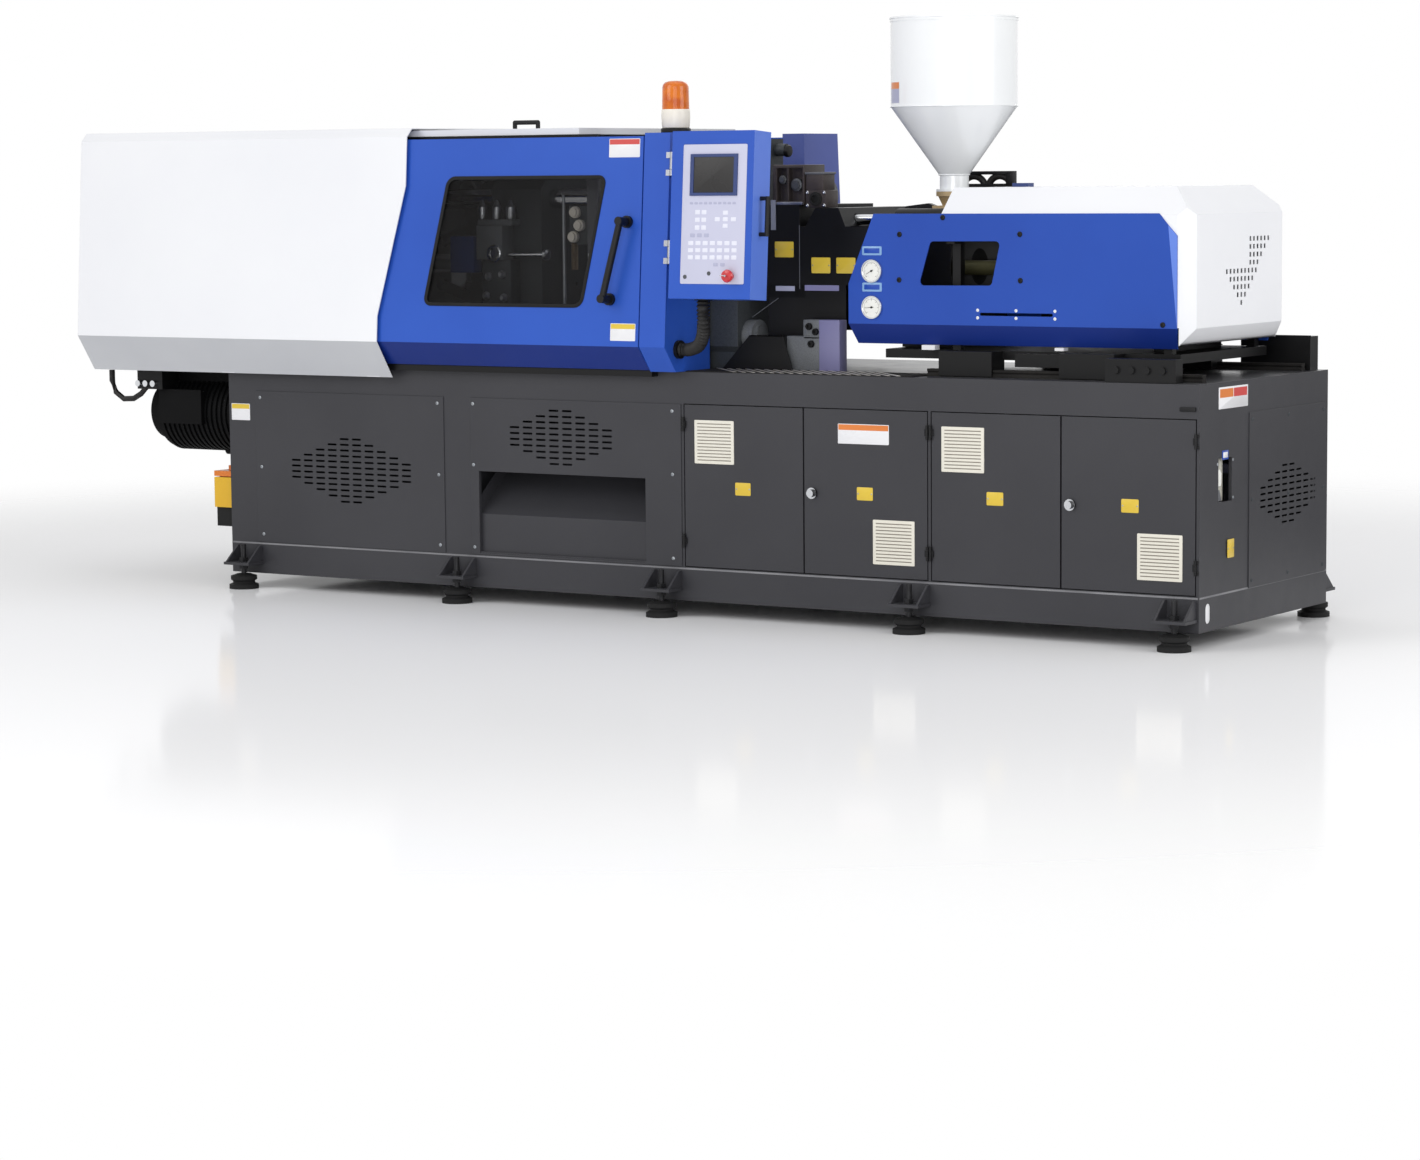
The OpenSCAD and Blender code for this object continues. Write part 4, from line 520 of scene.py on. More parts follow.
clearPick()
bpy.ops.mesh.primitive_grid_add(x_subdivisions=8, y_subdivisions=8, size=40)
floor = bpy.context.object
floor.name = "floor"
paleFloor = bpy.data.materials.new("paleFloor")
paleFloor.use_nodes = True
tree = paleFloor.node_tree
tree.nodes.remove(tree.nodes["Principled BSDF"])
spot = tree.nodes.new("ShaderNodeTexCoord").outputs["Object"]
reach = addNode(tree, "ShaderNodeVectorMath", {0: spot}, operation="LENGTH")
fade = addNode(tree, "ShaderNodeMapRange", {"From Min": studio["fadeFrom"], "From Max": studio["fadeTo"],
                                            "Value": reach.outputs["Value"]}, interpolation_type="SMOOTHSTEP")
matt = addNode(tree, "ShaderNodeBsdfDiffuse", {"Color": studio["floorTone"]})
mirror = addNode(tree, "ShaderNodeBsdfGlossy", {"Roughness": 0.1, "Color": (1, 1, 1, 1)})
polish = addNode(tree, "ShaderNodeMixShader", {"Fac": studio["sheen"], 1: matt.outputs[0], 2: mirror.outputs[0]})
clear = tree.nodes.new("ShaderNodeBsdfTransparent")
edgeFade = addNode(tree, "ShaderNodeMixShader", {"Fac": fade.outputs["Result"], 1: polish.outputs[0],
                                                 2: clear.outputs[0]})
# Behind the machine the floor turns dark only for glossy rays: a painted reflection, seen only as mirrored in the
# machine's own surfaces
glossyRay = tree.nodes.new("ShaderNodeLightPath").outputs["Is Glossy Ray"]
sides = addNode(tree, "ShaderNodeSeparateXYZ", {0: spot})
behind = addNode(tree, "ShaderNodeMath", {0: sides.outputs["Y"], 1: studio["darkFrom"]}, operation="GREATER_THAN")
mirrored = addNode(tree, "ShaderNodeMath", {0: behind.outputs[0], 1: glossyRay}, operation="MULTIPLY")
dark = addNode(tree, "ShaderNodeBsdfDiffuse", {"Color": studio["darkTone"]})
backFloor = addNode(tree, "ShaderNodeMixShader", {"Fac": mirrored.outputs[0], 1: edgeFade.outputs[0],
                                                  2: dark.outputs[0]})
tree.links.new(backFloor.outputs[0], tree.nodes["Material Output"].inputs["Surface"])
floor.data.materials.append(paleFloor)
print("camera, floor and light ready")


# Finishes of the solids that stay as they are
plainSolids = {
    "graphitePaint": ("vent_panel", "chute_panel", "drop_chute", "rear_panels"),
    "blackPaint": ("guard_frame", "deck_boxes", "carriage_base", "injection_ram"),
    "blackPlastic": ("front_handle", "hopper_gate"),
    "smokedGlass": ("front_window", "rear_window"),
    "machinedIron": ("rear_link_upper", "rear_link_lower", "front_link_upper", "front_link_lower", "cross_link_upper",
                     "cross_link_lower", "crosshead"),
    "brightSteel": ("ejector", "estop_key"),
    "hopperWhite": ("hopper", "hopper_lid"),
    "platenIron": ("moving_platen", "fixed_platen", "screw"),
    "valveIron": ("clamp_cylinder",), "tanCast": ("hopper_base",), "castIron": ("tail_platen",),
    # the rear column's greyer blue is painted shade
    "whitePaint": ("injection_shroud",), "paintedShadeGreyBlue": ("rear_column",), "redPlastic": ("estop",),
}
for finishName, group in plainSolids.items():
    for node in group:
        for place in nodes[node].material_slots:
            place.material = finishes[finishName]

# Solids of several finishes
dressNode("base_frame", "baseFrame", [
    ("graphitePaint", None), ("deckPaint", lambda p, n: p.z > 849.5),
    ("blackPlastic", lambda p, n: p.y < -0.5)])
dressNode("end_panel", "endPanel", [
    ("graphitePaint", None), ("oilGlass", lambda p, n: p.x < 3990)])
for number in (1, 2, 3, 4):
    dressNode(f"cabinet_door_{number}", f"cabinetDoor{number}", [
        ("graphitePaint", None), ("blackPlastic", lambda p, n: p.y < -0.5)])
for number in (2, 4):
    dressNode(f"lock_knob_{number}", f"lockKnob{number}", [
        ("brightSteel", None), ("blackPlastic", lambda p, n: abs(n.y) < 0.8)])
dressNode("front_column", "frontColumn", [
    ("doorBlue", None), ("satinSteel", lambda p, n: p.x > 2040.5 and p.z > 1100),
    ("blackPlastic", lambda p, n: p.x > 2040.5 and p.z < 1000)])
# The cover's downward and lowest faces are grey as painted shade
dressNode("clamp_cover", "clampCover", [
    ("whitePaint", None), ("paintedShadeGrey", lambda p, n: n.z < -0.25 or p.z < 800)])
# Door and side panels: faces that look down get a darker blue as painted shade
dressNode("front_door", "frontDoor", [
    ("doorBlue", None), ("paintedShadeBlue", lambda p, n: n.z < -0.25)])
# Side panels: the faces of the end fold are a lighter blue as painted light
dressNode("side_panels", "sidePanels", [
    ("panelBlue", None), ("paintedLitBlue", lambda p, n: p.x > 3828 and abs(n.y) > 0.7),
    ("paintedShadeBlue", lambda p, n: n.z < -0.25)])
dressNode("rear_door", "rearDoor", [
    ("doorBlue", None), ("blackPlastic", lambda p, n: p.y > 1000 + 65.3 + 50 * (1659 - p.z) / 721 and p.z > 1000)])
dressNode("roof_guard", "roofGuard", [
    ("whitePaint", None), ("blackPlastic", lambda p, n: p.z > 1692.3)])
dressNode("carriage_guides", "carriageGuides", [
    ("satinSteel", None), ("brightSteel", lambda p, n: p.z > 1300), ("treadDark", lambda p, n: p.z < 905)])
# The low end of the guard shows the rods behind it over its side sheets
nozzleGuard = dressNode("nozzle_guard", "nozzleGuard", [("blackPaint", None)])
pick(nozzleGuard, lambda p, n: p.x - corner.x * 1000 > 2547 and abs(n.z) > 0.9 and 1330 < p.z < 1350)
bpy.ops.mesh.delete(type="FACE")
closeEdit()
tieBars = dressNode("tie_bars", "tieBars", [
    ("brightSteel", None),
    ("castIron", lambda p, n: abs(n.x) > 0.9 or math.hypot(abs(p.y - 500) - 240, abs(p.z - 1205) - 240) > 36)])
pick(tieBars, lambda p, n: p.x - corner.x * 1000 > 2200, "VERT")
bpy.ops.transform.translate(value=(-0.03, 0, 0))
closeEdit()
dressNode("barrel", "barrelAndNozzle", [
    ("satinSteel", None), ("heaterSteel", lambda p, n: p.x > 2262 and math.hypot(p.y - 500, p.z - 1205) > 63),
    ("pumpBlack", lambda p, n: p.x > 2900)])
dressNode("injection_housing", "injectionHousing", [
    ("blackPaint", None), ("oliveSteel", lambda p, n: p.x > 2931 and abs(p.z - 1205) < 30),
    ("satinSteel", lambda p, n: p.x > 2931 and p.z > 1340),
    ("hose", lambda p, n: p.z > 1401)])
dressNode("levelling_feet", "levellingFeet", [
    ("rubber", None), ("footBlack", lambda p, n: p.z > 56.5),
    ("graphitePaint", lambda p, n: p.z > 89 and math.hypot(min(abs(p.x - x) for x in (90, 1085, 1970, 2960, 3935)),
                                                     min(abs(p.y + 44), abs(p.y - 1044))) > 19.5)])
dressNode("lubrication_unit", "lubricationUnit", [
    ("yellowPlastic", None), ("orangePlastic", lambda p, n: p.z > 401), ("rubber", lambda p, n: p.z < 286)])
dressNode("pump_unit", "pumpUnit", [
    ("pumpBlack", None), ("blackPaint", lambda p, n: p.x < -352 and p.z > 728),
    ("brightSteel", lambda p, n: p.y < 29.9 and p.z > 738),
    ("hose", lambda p, n: p.x < -486 or (p.y < 40 and p.z < 728))])
dressNode("electrical_plate", "electricalPlates", [
    ("galvanised", None), ("creamPlastic", lambda p, n: p.y < 438 and p.z > 585),
    ("keyGrey", lambda p, n: p.y < 438 and (325 < p.z < 365 or 535 < p.z < 575)),
    ("blackPlastic", lambda p, n: p.y < 438 and 366 < p.z < 534), ("valveIron", lambda p, n: p.y < 438 and p.z < 322)])


def inBox(p):
    return boxPlace.inverted() @ (corner + p / 1000) * 1000


# The box's right side is a lighter blue as painted light
dressNode("panel_box", "controlBox", [
    ("doorBlue", None), ("paintedLitBlue", lambda p, n: n.x > 0.9 and inBox(p).x > 320),
    ("navyPaint", lambda p, n: inBox(p).y < -0.3 and inBox(p).x > 60),
    ("blackPlastic", lambda p, n: inBox(p).x > 328.4 or inBox(p).z < -0.2),
    ("satinSteel", lambda p, n: inBox(p).x < -0.2)])
print("solids dressed")


# Screws and bolts
screwSize = {"head": 8.0, "height": 3.2, "socket": 3.6}


def addScrew(finishName="brightSteel", size=1.0):
    head, height, socket = (screwSize[k] * size for k in ("head", "height", "socket"))
    screw = addTurned([(head, 0), (head, height * 0.4), (head * 0.82, height * 0.85), (head * 0.6, height),
                       (socket, height), (socket * 0.9, height * 0.35)], 16)
    return coat(screw, finishName)


# Heads that look along -Y, +Y or +X from their spots
def scatter(screw, spots, way="front"):
    turnTo = {"front": Matrix.Rotation(angle(90), 4, "X"), "back": Matrix.Rotation(angle(-90), 4, "X"),
              "end": Matrix.Rotation(angle(90), 4, "Y")}[way]
    return copyTo(screw, [Matrix.Translation(Vector(spot) / 1000) @ turnTo for spot in spots])


frontScrews = [(x, -2.8, z) for x, z in ((152, 714), (978, 714), (154, 455), (980, 455), (157, 203), (982, 200),
                                        (1137, 716), (1994, 713), (1137, 497), (1994, 493), (1137, 200), (1994, 200))]
finishPiece(scatter(addScrew("galvanised", 0.8), frontScrews), "baseScrews", "machine")
rearScrews = [(x, 1002.8, z) for a, b in ((70, 1040), (1090, 2010), (2070, 3930))
              for x in (a + 22, (a + b) / 2, b - 22) for z in (200, 455, 714)]
finishPiece(scatter(addScrew("galvanised", 0.8), rearScrews, "back"), "rearScrews", "machine")
endScrews = [(4002.8, y, z) for y in (390, 675, 960) for z in (190, 455, 718)]
gaugeScrews = [(4000, y, z) for y, z in ((132, 588), (248, 596), (250, 474))]
endHeads = join(scatter(addScrew("platenIron", 0.8), endScrews, "end"),
                scatter(addScrew("galvanised", 0.6), gaugeScrews, "end"))
finishPiece(endHeads, "endScrews", "machine")
panelBolts = [(x, 120, z) for x, z in ((2834, 1321), (2832, 1169), (3290, 1322), (3292, 1170), (3000, 1377),
                                      (3810, 1032))]
slotScrews = [(x, 120, z) for x in (3132, 3276, 3420) for z in (1046, 1071)]
frontBolts = scatter(addScrew("blackPaint", 1.15), panelBolts)
rearBolts = scatter(addScrew("blackPaint", 1.15), [(x, 880, z) for x, y, z in panelBolts], "back")
smallScrews = scatter(addScrew("plateWhite", 0.7), slotScrews)
rearSmall = scatter(addScrew("plateWhite", 0.7), [(x, 880, z) for x, y, z in slotScrews], "back")
finishPiece(join(frontBolts, rearBolts, smallScrews, rearSmall), "sidePanelBolts", "carriage")
print("screws placed")


# Blank plates with plain colour bands
def addLabel(x, z, bandFinish, bandShare=0.28, plateFinish="plateWhite", y=0.0, thick=0.8):
    plate = coat(addPlate(x, (y - thick, y), z, 3.0, 0.3), plateFinish)
    if not bandFinish:
        return plate
    inset = 2.0
    top = z[1] - inset
    bandZ = (top - (z[1] - z[0]) * bandShare, top)
    band = addPlate((x[0] + inset, x[1] - inset), (y - thick - 0.3, y - thick + 0.1), bandZ, 1.5, 0.2)
    return join(plate, coat(band, bandFinish))


labelTable = {
    "doorPlateUpper": dict(x=(1789, 1917), z=(651, 715), band="plateRed", place=doorPlace, body="front_door"),
    "doorPlateLower": dict(x=(1814, 1918), z=(20, 80), band="plateYellow", place=doorPlace, body="front_door"),
    "basePlateLeft": dict(x=(12, 100), z=(627, 689), band="plateYellow", place=machinePlace, body="machine"),
    "cabinetPlate": dict(x=(2662, 2860), z=(622, 689), band="plateOrange", place=machinePlace, body="cabinet_door_2"),
}
for name, values in labelTable.items():
    label = addLabel(values["x"], values["z"], values["band"], y=values.get("y", 0.0))
    finishPiece(label, name, values["body"], values["place"])


endLabel = {"plate": ((138, 358), (2.9 - 0.8, 2.9), (764, 834)), "bandY": (2.9 - 1.1, 2.9 - 0.7), "bandZ": (800, 828),
            "bands": {"plateOrange": (146, 246), "plateRed": (250, 350)}}
pieces = [coat(addPlate(*endLabel["plate"], 3.0, 0.3), "plateWhite")]
for finishName, span in endLabel["bands"].items():
    pieces.append(coat(addPlate(span, endLabel["bandY"], endLabel["bandZ"], 1.5, 0.2), finishName))
finishPiece(join(*pieces), "endPlate", "machine", endPlace)


# Small blank marker plates with two rivets
def addMarker(x, y, z, wide=62, high=44, finishName="plateYellow"):
    plate = addPlate((x - wide / 2, x + wide / 2), (y - 0.8, y), (z - high / 2, z + high / 2), 4.0, 0.4)
    rivets = scatter(addScrew("satinSteel", 0.35), [(x + s * (wide / 2 - 5), y - 0.7, z) for s in (-1, 1)])
    return join(coat(plate, finishName), rivets)


for number, (x, z) in enumerate(((2281, 452), (2766, 455), (3262, 458), (3755, 455)), 1):
    finishPiece(addMarker(x, 0, z), f"doorMarker{number}", f"cabinet_door_{number}")
guardMarkers = [addMarker(x, 250, z, 76, 54) for x, z in ((2447, 1212), (2547, 1212), (2299, 1266))]
finishPiece(join(*guardMarkers), "guardMarkers", "machine")
finishPiece(addMarker(228, 0, 310, 50, 60), "endMarker", "machine", endPlace)


# Louvre plates of the cabinet doors; the darker backing seen through the slots is painted shade
louvrePlate = {"wide": 158, "high": 150, "slots": 12, "pitch": 11.4, "slotHigh": 3.6, "rim": 10.5,
               "centres": ((2166, 610), (2878, 295), (3142, 616), (3862, 293))}


def addLouvre():
    wide, high = louvrePlate["wide"], louvrePlate["high"]
    plate = addPlate((-wide / 2 - 1, wide / 2 + 1), (-2.6, 0.2), (-high / 2, high / 2), 3.0, 0.8)
    slotLow = louvrePlate["rim"] - high / 2
    slot = addBlock((-wide / 2 + 10, wide / 2 - 10), (-8, 6), (slotLow, slotLow + louvrePlate["slotHigh"]))
    repeat(slot, louvrePlate["slots"], (0, 0, louvrePlate["pitch"]))
    backing = addBlock((-wide / 2 + 6, wide / 2 - 6), (-1.0, 0.1), (-high / 2 + 6, high / 2 - 6))
    return join(coat(cutHole(plate, slot), "louvreCream"), coat(backing, "paintedSlotShade"))


for number, (x, z) in enumerate(louvrePlate["centres"], 1):
    finishPiece(addLouvre(), f"louvrePlate{number}", f"cabinet_door_{number}", standing(x, 0, z))
print("labels and louvres done")


# Rubber seals round the panes of both doors
windowSeal = {"corners": ((1007, 1077), (1104, 1519), (1775, 1519), (1684, 1077)), "lip": 8.0, "ring": 13.0,
              "proud": 3.0}


def addSeal():
    def up(z):
        return (z - 938) / math.cos(lean)
    lip = windowSeal["lip"]
    (x0, low), (x1, top), (x2, _), (x3, _) = windowSeal["corners"]
    seal = addBlock((x1 - lip, x2 + lip), (-windowSeal["proud"], 3.2), (up(low) - lip, up(top) + lip))
    pick(seal, lambda p, n: p.z < 300 and p.x < 1400, "VERT")
    bpy.ops.transform.translate(value=((x0 - x1) / 1000, 0, 0))
    pick(seal, lambda p, n: p.z < 300 and p.x > 1400, "VERT")
    bpy.ops.transform.translate(value=((x3 - x2) / 1000, 0, 0))
    pick(seal, lambda p, way: abs(way.y) > 0.9, "EDGE")
    bpy.ops.mesh.bevel(offset=0.034, segments=6, affect="EDGES")
    pick(seal, lambda p, n: abs(n.y) > 0.9)
    bpy.ops.mesh.inset(thickness=windowSeal["ring"] / 1000, depth=0)
    bpy.ops.mesh.bridge_edge_loops()
    closeEdit()
    return coat(roundEdges(seal, 1.4, 2, 50), "rubber")


finishPiece(addSeal(), "frontWindowSeal", "front_door", doorPlace)
finishPiece(addSeal(), "rearWindowSeal", "rear_door", rearDoorPlace)

# Control box face
boxFace = {"foil": ((46.6, 301.4), (50.6, 519.4)), "glass": ((92.6, 251.4), (357.6, 476.4))}
foil = coat(addPlate(boxFace["foil"][0], (-0.5, 0.8), boxFace["foil"][1], 5.0, 0.4), "keyFoil")
hole = addBlock((77.8, 266.2), (-6, 6), (346.8, 487.2))
finishPiece(cutHole(foil, hole), "keyFoil", "panel_box", boxPlace)
glass = coat(addPlate(boxFace["glass"][0], (-3.4, 1.2), boxFace["glass"][1], 2.0, 1.2), "screenGlass")
finishPiece(glass, "screen", "panel_box", boxPlace)


def addKeys(xs, zs, wide, high, finishName):
    keys = []
    for x in xs:
        for z in zs:
            keys.append(addPlate((x - wide / 2, x + wide / 2), (-1.3, -0.4), (z - high / 2, z + high / 2), 2.0, 0.8, 2))
    return coat(join(*keys), finishName)


keyRows = [
    ([84 + 19 * k for k in range(10)], [322], 13, 8, "keyGrey"),
    ([110, 136], [292, 266, 240], 19, 15, "keyLight"),
    ([190, 222, 254], [268], 20, 14, "keyLight"), ([222], [290, 246], 20, 14, "keyLight"),
    ([92, 120, 148], [214], 19, 13, "keyGrey"),
    ([86 + 29 * k for k in range(7)], [188, 164, 140], 20, 14, "keyLight"),
    ([188, 216], [116], 18, 12, "keyGrey"),
]
keypad = join(*[addKeys(*row) for row in keyRows])
finishPiece(keypad, "keypad", "panel_box", boxPlace)
boxSockets = addHeads([(7, 0), (7, 2), (5, 2.6), (4.4, 2.6), (4, 1)], ((66, -0.4, 74), (162, -0.4, 86)), "valveIron")
finishPiece(join(*boxSockets), "boxSockets", "panel_box", boxPlace)

# Corrugated conduit from the column to the control box
conduitLine = [(2052.4, -30, 928), (2080, -30, 928), (2100, -38, 931), (2138, -56, 942), (2170, -80, 965),
               (2192, -102, 998), (2203, -118, 1030)]
boxEnd = [boxPlace @ (Vector((99, 68, z)) / 1000) - corner for z in (-35, -4)]
conduit = addHose(conduitLine + [tuple(p * 1000) for p in boxEnd], 23.6, 6.5, 0.2, 7)
coat(conduit, "hose")
finishPiece(conduit, "panelConduit", None, smooth=60)
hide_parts("panel_conduit")
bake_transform(conduit)
print("doors, windows and control box done")


# Lower sheets of the nozzle guard, the drip plate before its nuts, strips and a stay
guardSheets = {"spans": (((2234, 2430), (967, 1146)), ((2430, 2546), (1026, 1146))),
               "sides": ((250, 252), (748, 750)), "stripY": (248.8, 250.2),
               "strips": (((2264, 2341), (1123, 1140), "keyGrey"), ((2382, 2519), (1125, 1144), "lavender"),
                          ((2360, 2362.5), (1130, 1350), "duskGrey"), ((2246, 2266), (1333, 1436), "satinSteel")),
               "stay": ((2276, 247, 1098), (2169, 247, 1031), 1.8)}
dripPlate = {"foot": (2082, 2372), "top": (2197, 2332), "y": (182, 185), "z": (850.3, 971), "lip": 15, "thick": 3}
pieces = [addBlock(x, y, z) for y in guardSheets["sides"] for x, z in guardSheets["spans"]]
drip = addBlock(dripPlate["foot"], dripPlate["y"], dripPlate["z"])
for foot, top in zip(dripPlate["foot"], dripPlate["top"]):
    pick(drip, lambda p, n: p.z > 900 and abs(p.x - foot) < 1, "VERT")
    bpy.ops.transform.translate(value=((top - foot) / 1000, 0, 0))
    closeEdit()
dripTop = dripPlate["z"][1]
dripY = dripPlate["y"][0]
lip = addBlock(dripPlate["top"], (dripY, dripY + dripPlate["lip"]), (dripTop - dripPlate["thick"], dripTop))
guardPieces = coat(join(*pieces, drip, lip), "blackPaint")
strips = addBars([(x, guardSheets["stripY"], z, 0, finishName) for x, z, finishName in guardSheets["strips"]])
stay = coat(addRod(*guardSheets["stay"], 12), "duskGrey")
finishPiece(join(guardPieces, *strips, stay), "guardSheets", "machine")

# Valves on the nozzle guard: framed manifold with coils, plug box with lid, hose clamp
valve = {"frame": ((2246, 2374), (262, 400), (1419.3, 1557)), "pockets": ((2262, 2302), (2310, 2366)),
         "pocketY": (250, 290), "pocketZ": (1432, 1545), "coils": ((2282, 1506, 15), (2338, 1488, 22)),
         "hose": (2422, 262, 1439), "bolts": [(x, 262, z) for z in (1461, 1417) for x in (2388, 2455)]}
valveBars = (((2250, 2372), (252, 263), (1419.3, 1429), 1.0, "satinSteel"),
             ((2382, 2450), (262, 340), (1468, 1524), 1.5, "valveBrown"),
             ((2378, 2454), (258, 344), (1523, 1531), 2.0, "duskGrey"),
             ((2380, 2463), (262, 340), (1409, 1469), 2.5, "valveBrown"),
             ((2373, 2383), (300, 330), (1480, 1515), 0, "satinSteel"))
manifold = addBlock(*valve["frame"])
for span in valve["pockets"]:
    manifold = cutHole(manifold, addBlock(span, valve["pocketY"], valve["pocketZ"]))
pieces = [coat(roundEdges(manifold, 2.0), "valveBrown")] + addBars(valveBars)
for x, z, radius in valve["coils"]:
    coilShape = [(radius, 0), (radius, 22), (radius * 0.7, 25), (radius * 0.66, 29)]
    pieces += addHeads(coilShape, [(x, 291, z)], "valveIron", 28)
pieces += addHeads([(24, 0), (24, 6), (20, 7), (20, 12), (14, 12.5), (13, 4)], [valve["hose"]], "rubber", 36)
pieces += addHeads([(6, 0), (6, 4), (4.6, 5.4), (3, 5.4), (2.8, 3)], valve["bolts"], "brightSteel", 6)
finishPiece(join(*pieces), "valveBlock", "machine")
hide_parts("valve_block")

# Bolted foot at the platen end of the carriage guides
guideFoot = {"bars": (((2337, 2470), (200, 246), (850.3, 970), 3.0, "castIron"),
                      ((2404, 2470), (200, 246), (960, 1027), 3.0, "castIron"),
                      ((2470, 2552), (196, 246), (850.3, 1027), 2.0, "lavender")),
             "bolts": ((2430, 200, 1004), (2456, 200, 986), (2438, 200, 944)),
             "boltShape": [(12, 0), (12, 9), (10.6, 11), (6, 11), (5.6, 5)]}
footBolts = addHeads(guideFoot["boltShape"], guideFoot["bolts"], "blackPaint")
finishPiece(join(*addBars(guideFoot["bars"]), *footBolts), "guideFoot", "machine")

# Ejector valves on the moving platen's front side, seen dimly through the window
ejectorValves = {
    "bars": (((955, 1060), (120, 172), (1180, 1312), 3.0, "navyPaint"),
             ((1080, 1196), (110, 178), (1228, 1350), 3.0, "castIron"),
             ((1080, 1230), (120, 178), (1350, 1372), 2.0, "castIron"),
             ((1100, 1225), (120, 178), (1070, 1228), 2.0, "platenIron")),
    "ring": (1160, 110, 1250), "rod": ((1196, 140, 1246), (1372, 140, 1246), 8), "rodHead": (1360, 140, 1246),
    "tops": [(x, 146, 1372) for x in (1084, 1148, 1210)],
    "topShape": [(15, 0), (17, 4), (17, 44), (12, 50), (8, 62), (4, 70)],
    "lowers": [(x, 120, z) for x, z in ((1130, 1168), (1190, 1176), (1118, 1098), (1196, 1092))]}
pieces = addBars(ejectorValves["bars"])
pieces += addHeads([(32, 0), (32, 5), (28, 8), (20, 8), (18, 2)], [ejectorValves["ring"]], "brightSteel", 36)
pieces.append(coat(addRod(*ejectorValves["rod"]), "brightSteel"))
pieces += addHeads([(16, 0), (20, 3), (20, 14), (12, 20)], [ejectorValves["rodHead"]], "satinSteel", 24, (1, 0, 0))
pieces += addHeads(ejectorValves["topShape"], ejectorValves["tops"], "satinSteel", 24, (0, 0, 1))
pieces += addHeads([(16, 0), (16, 8), (12, 12), (8, 20)], ejectorValves["lowers"], "satinSteel", 6)
finishPiece(join(*pieces), "ejectorValves", "moving_platen")

# Grey post by the door rail with a tube, white sockets and a coiled lead's sleeve
railPost = {"bars": (((1608, 1655), (52, 78), (853, 1580), 2.0, "duskGrey"),
                     ((1612, 1634), (50.5, 52), (1200, 1254), 0, "plateWhite"),
                     ((1496, 1612), (54, 66), (1458, 1468), 0, "duskGrey"),
                     ((1530, 1610), (56, 68), (1285, 1420), 0, "platenIron")),
            "tube": ((1503, 60, 853), (1503, 60, 1462), 6), "coil": (1548, 60, 1196), "turns": 15, "pitch": 6.2,
            "sockets": ((1560, 56, 1398), (1578, 56, 1352), (1552, 56, 1312))}
post, *plates = addBars(railPost["bars"])
sockets = addHeads([(20, 0), (20, 14), (15, 17), (15, 24), (9, 25)], railPost["sockets"], "creamPlastic", 20)
coil = addTurned([(11, 0), (13, 3), (11, 6)], 20, railPost["coil"], (0, 0, 1))
repeat(coil, railPost["turns"], (0, 0, railPost["pitch"]))
tube = coat(addRod(*railPost["tube"], 16), "galvanised")
finishPiece(join(post, tube, *plates, *sockets, coat(coil, "heaterSteel")), "railPost", "machine")

# Black cap of the mechanical safety bar
barCap = {"profile": [(21.8, 0), (21.8, 10), (19, 14), (11, 15)], "at": (2119, 560, 1606)}
capRod = addHeads(barCap["profile"], [barCap["at"]], "blackPlastic", 36, (1, 0, 0))
finishPiece(capRod[0], "safetyBarCap", "moving_platen")

# Brackets under the side panel, a strip on the shroud, bars on the hose bends and a clip on the base
smallBars = {
    "panelBrackets": ("carriage", "white_paint", [((2914, 2964), (128, 160), (936, 952), 0, "plateWhite"),
                                                  ((3415, 3448), (128, 160), (941, 951), 0, "plateWhite")]),
    "topStrip": ("carriage", "blue_paint", [((3068, 3129), (480, 520), (1474.5, 1488), 0, "navyPaint")]),
    "bendClamp": ("carriage", "black_plastic", [((2798, 2980), (637, 663), (1517, 1529), 1.5, "blackPlastic"),
                                                ((2776, 2984), (637, 663), (1474, 1486), 1.5, "blackPlastic"),
                                                ((2958, 2986), (635, 665), (1480, 1529), 1.5, "blackPlastic")]),
    "frontClip": ("machine", "black_plastic", [((3931, 3987), (-6, 0), (764, 778), 1.5, "blackPlastic")]),
}
for name, (body, slotName, bars) in smallBars.items():
    finishPiece(join(*addBars(bars)), name, body)

# End face: plate over the gauge recess, cover of the lifting slot, cap and foot of the oil gauge, and a lighter strip
# along the rail's edge as a painted highlight
recessPlate = {"rim": ((166, 212), (1.9, 2.9), (600, 630), 3.0, 0.3),
               "field": ((172, 206), (1.5, 2.1), (606, 624), 2.0, 0.3)}
pieces = [coat(addPlate(*recessPlate["rim"]), "panelBlue"), coat(addPlate(*recessPlate["field"]), "plateWhite")]
finishPiece(join(*pieces), "recessPlate", "machine", endPlace)
slotCover = addPlate((50, 82), (4.0, 5.0), (81, 145), 15.0, 0.4, 8)
finishPiece(coat(slotCover, "plateWhite"), "slotCover", "machine", endPlace)
gaugeCap = {"cap": [(7, 512), (13, 516), (15, 526), (15, 556), (11, 568), (5, 571)], "at": (163, 20, 0),
            "foot": ((146, 196), (18, 40), (466, 502)), "taper": 0.45}
capTop = coat(addTurned(gaugeCap["cap"], 32, gaugeCap["at"]), "dialWhite")
capFoot = addBlock(*gaugeCap["foot"])
pick(capFoot, lambda p, n: p.z > 490, "VERT")
bpy.ops.transform.resize(value=(gaugeCap["taper"], 1, 1), center_override=(0.166, 0, 0))
closeEdit()
finishPiece(join(capTop, coat(capFoot, "satinSteel")), "gaugeCap", "machine", endPlace)
# painted highlight: lighter strips along the rail's front and end edges
railEdgeHighlight = (((4, 3996), (-0.6, 0.2), (164, 170), 0, "paintedEdgeHighlight"),
            ((3999.8, 4000.6), (4, 996), (164, 170), 0, "paintedEdgeHighlight"))
finishPiece(join(*addBars(railEdgeHighlight)), "railEdgeHighlight", "machine")
print("guard, valves and brackets done")


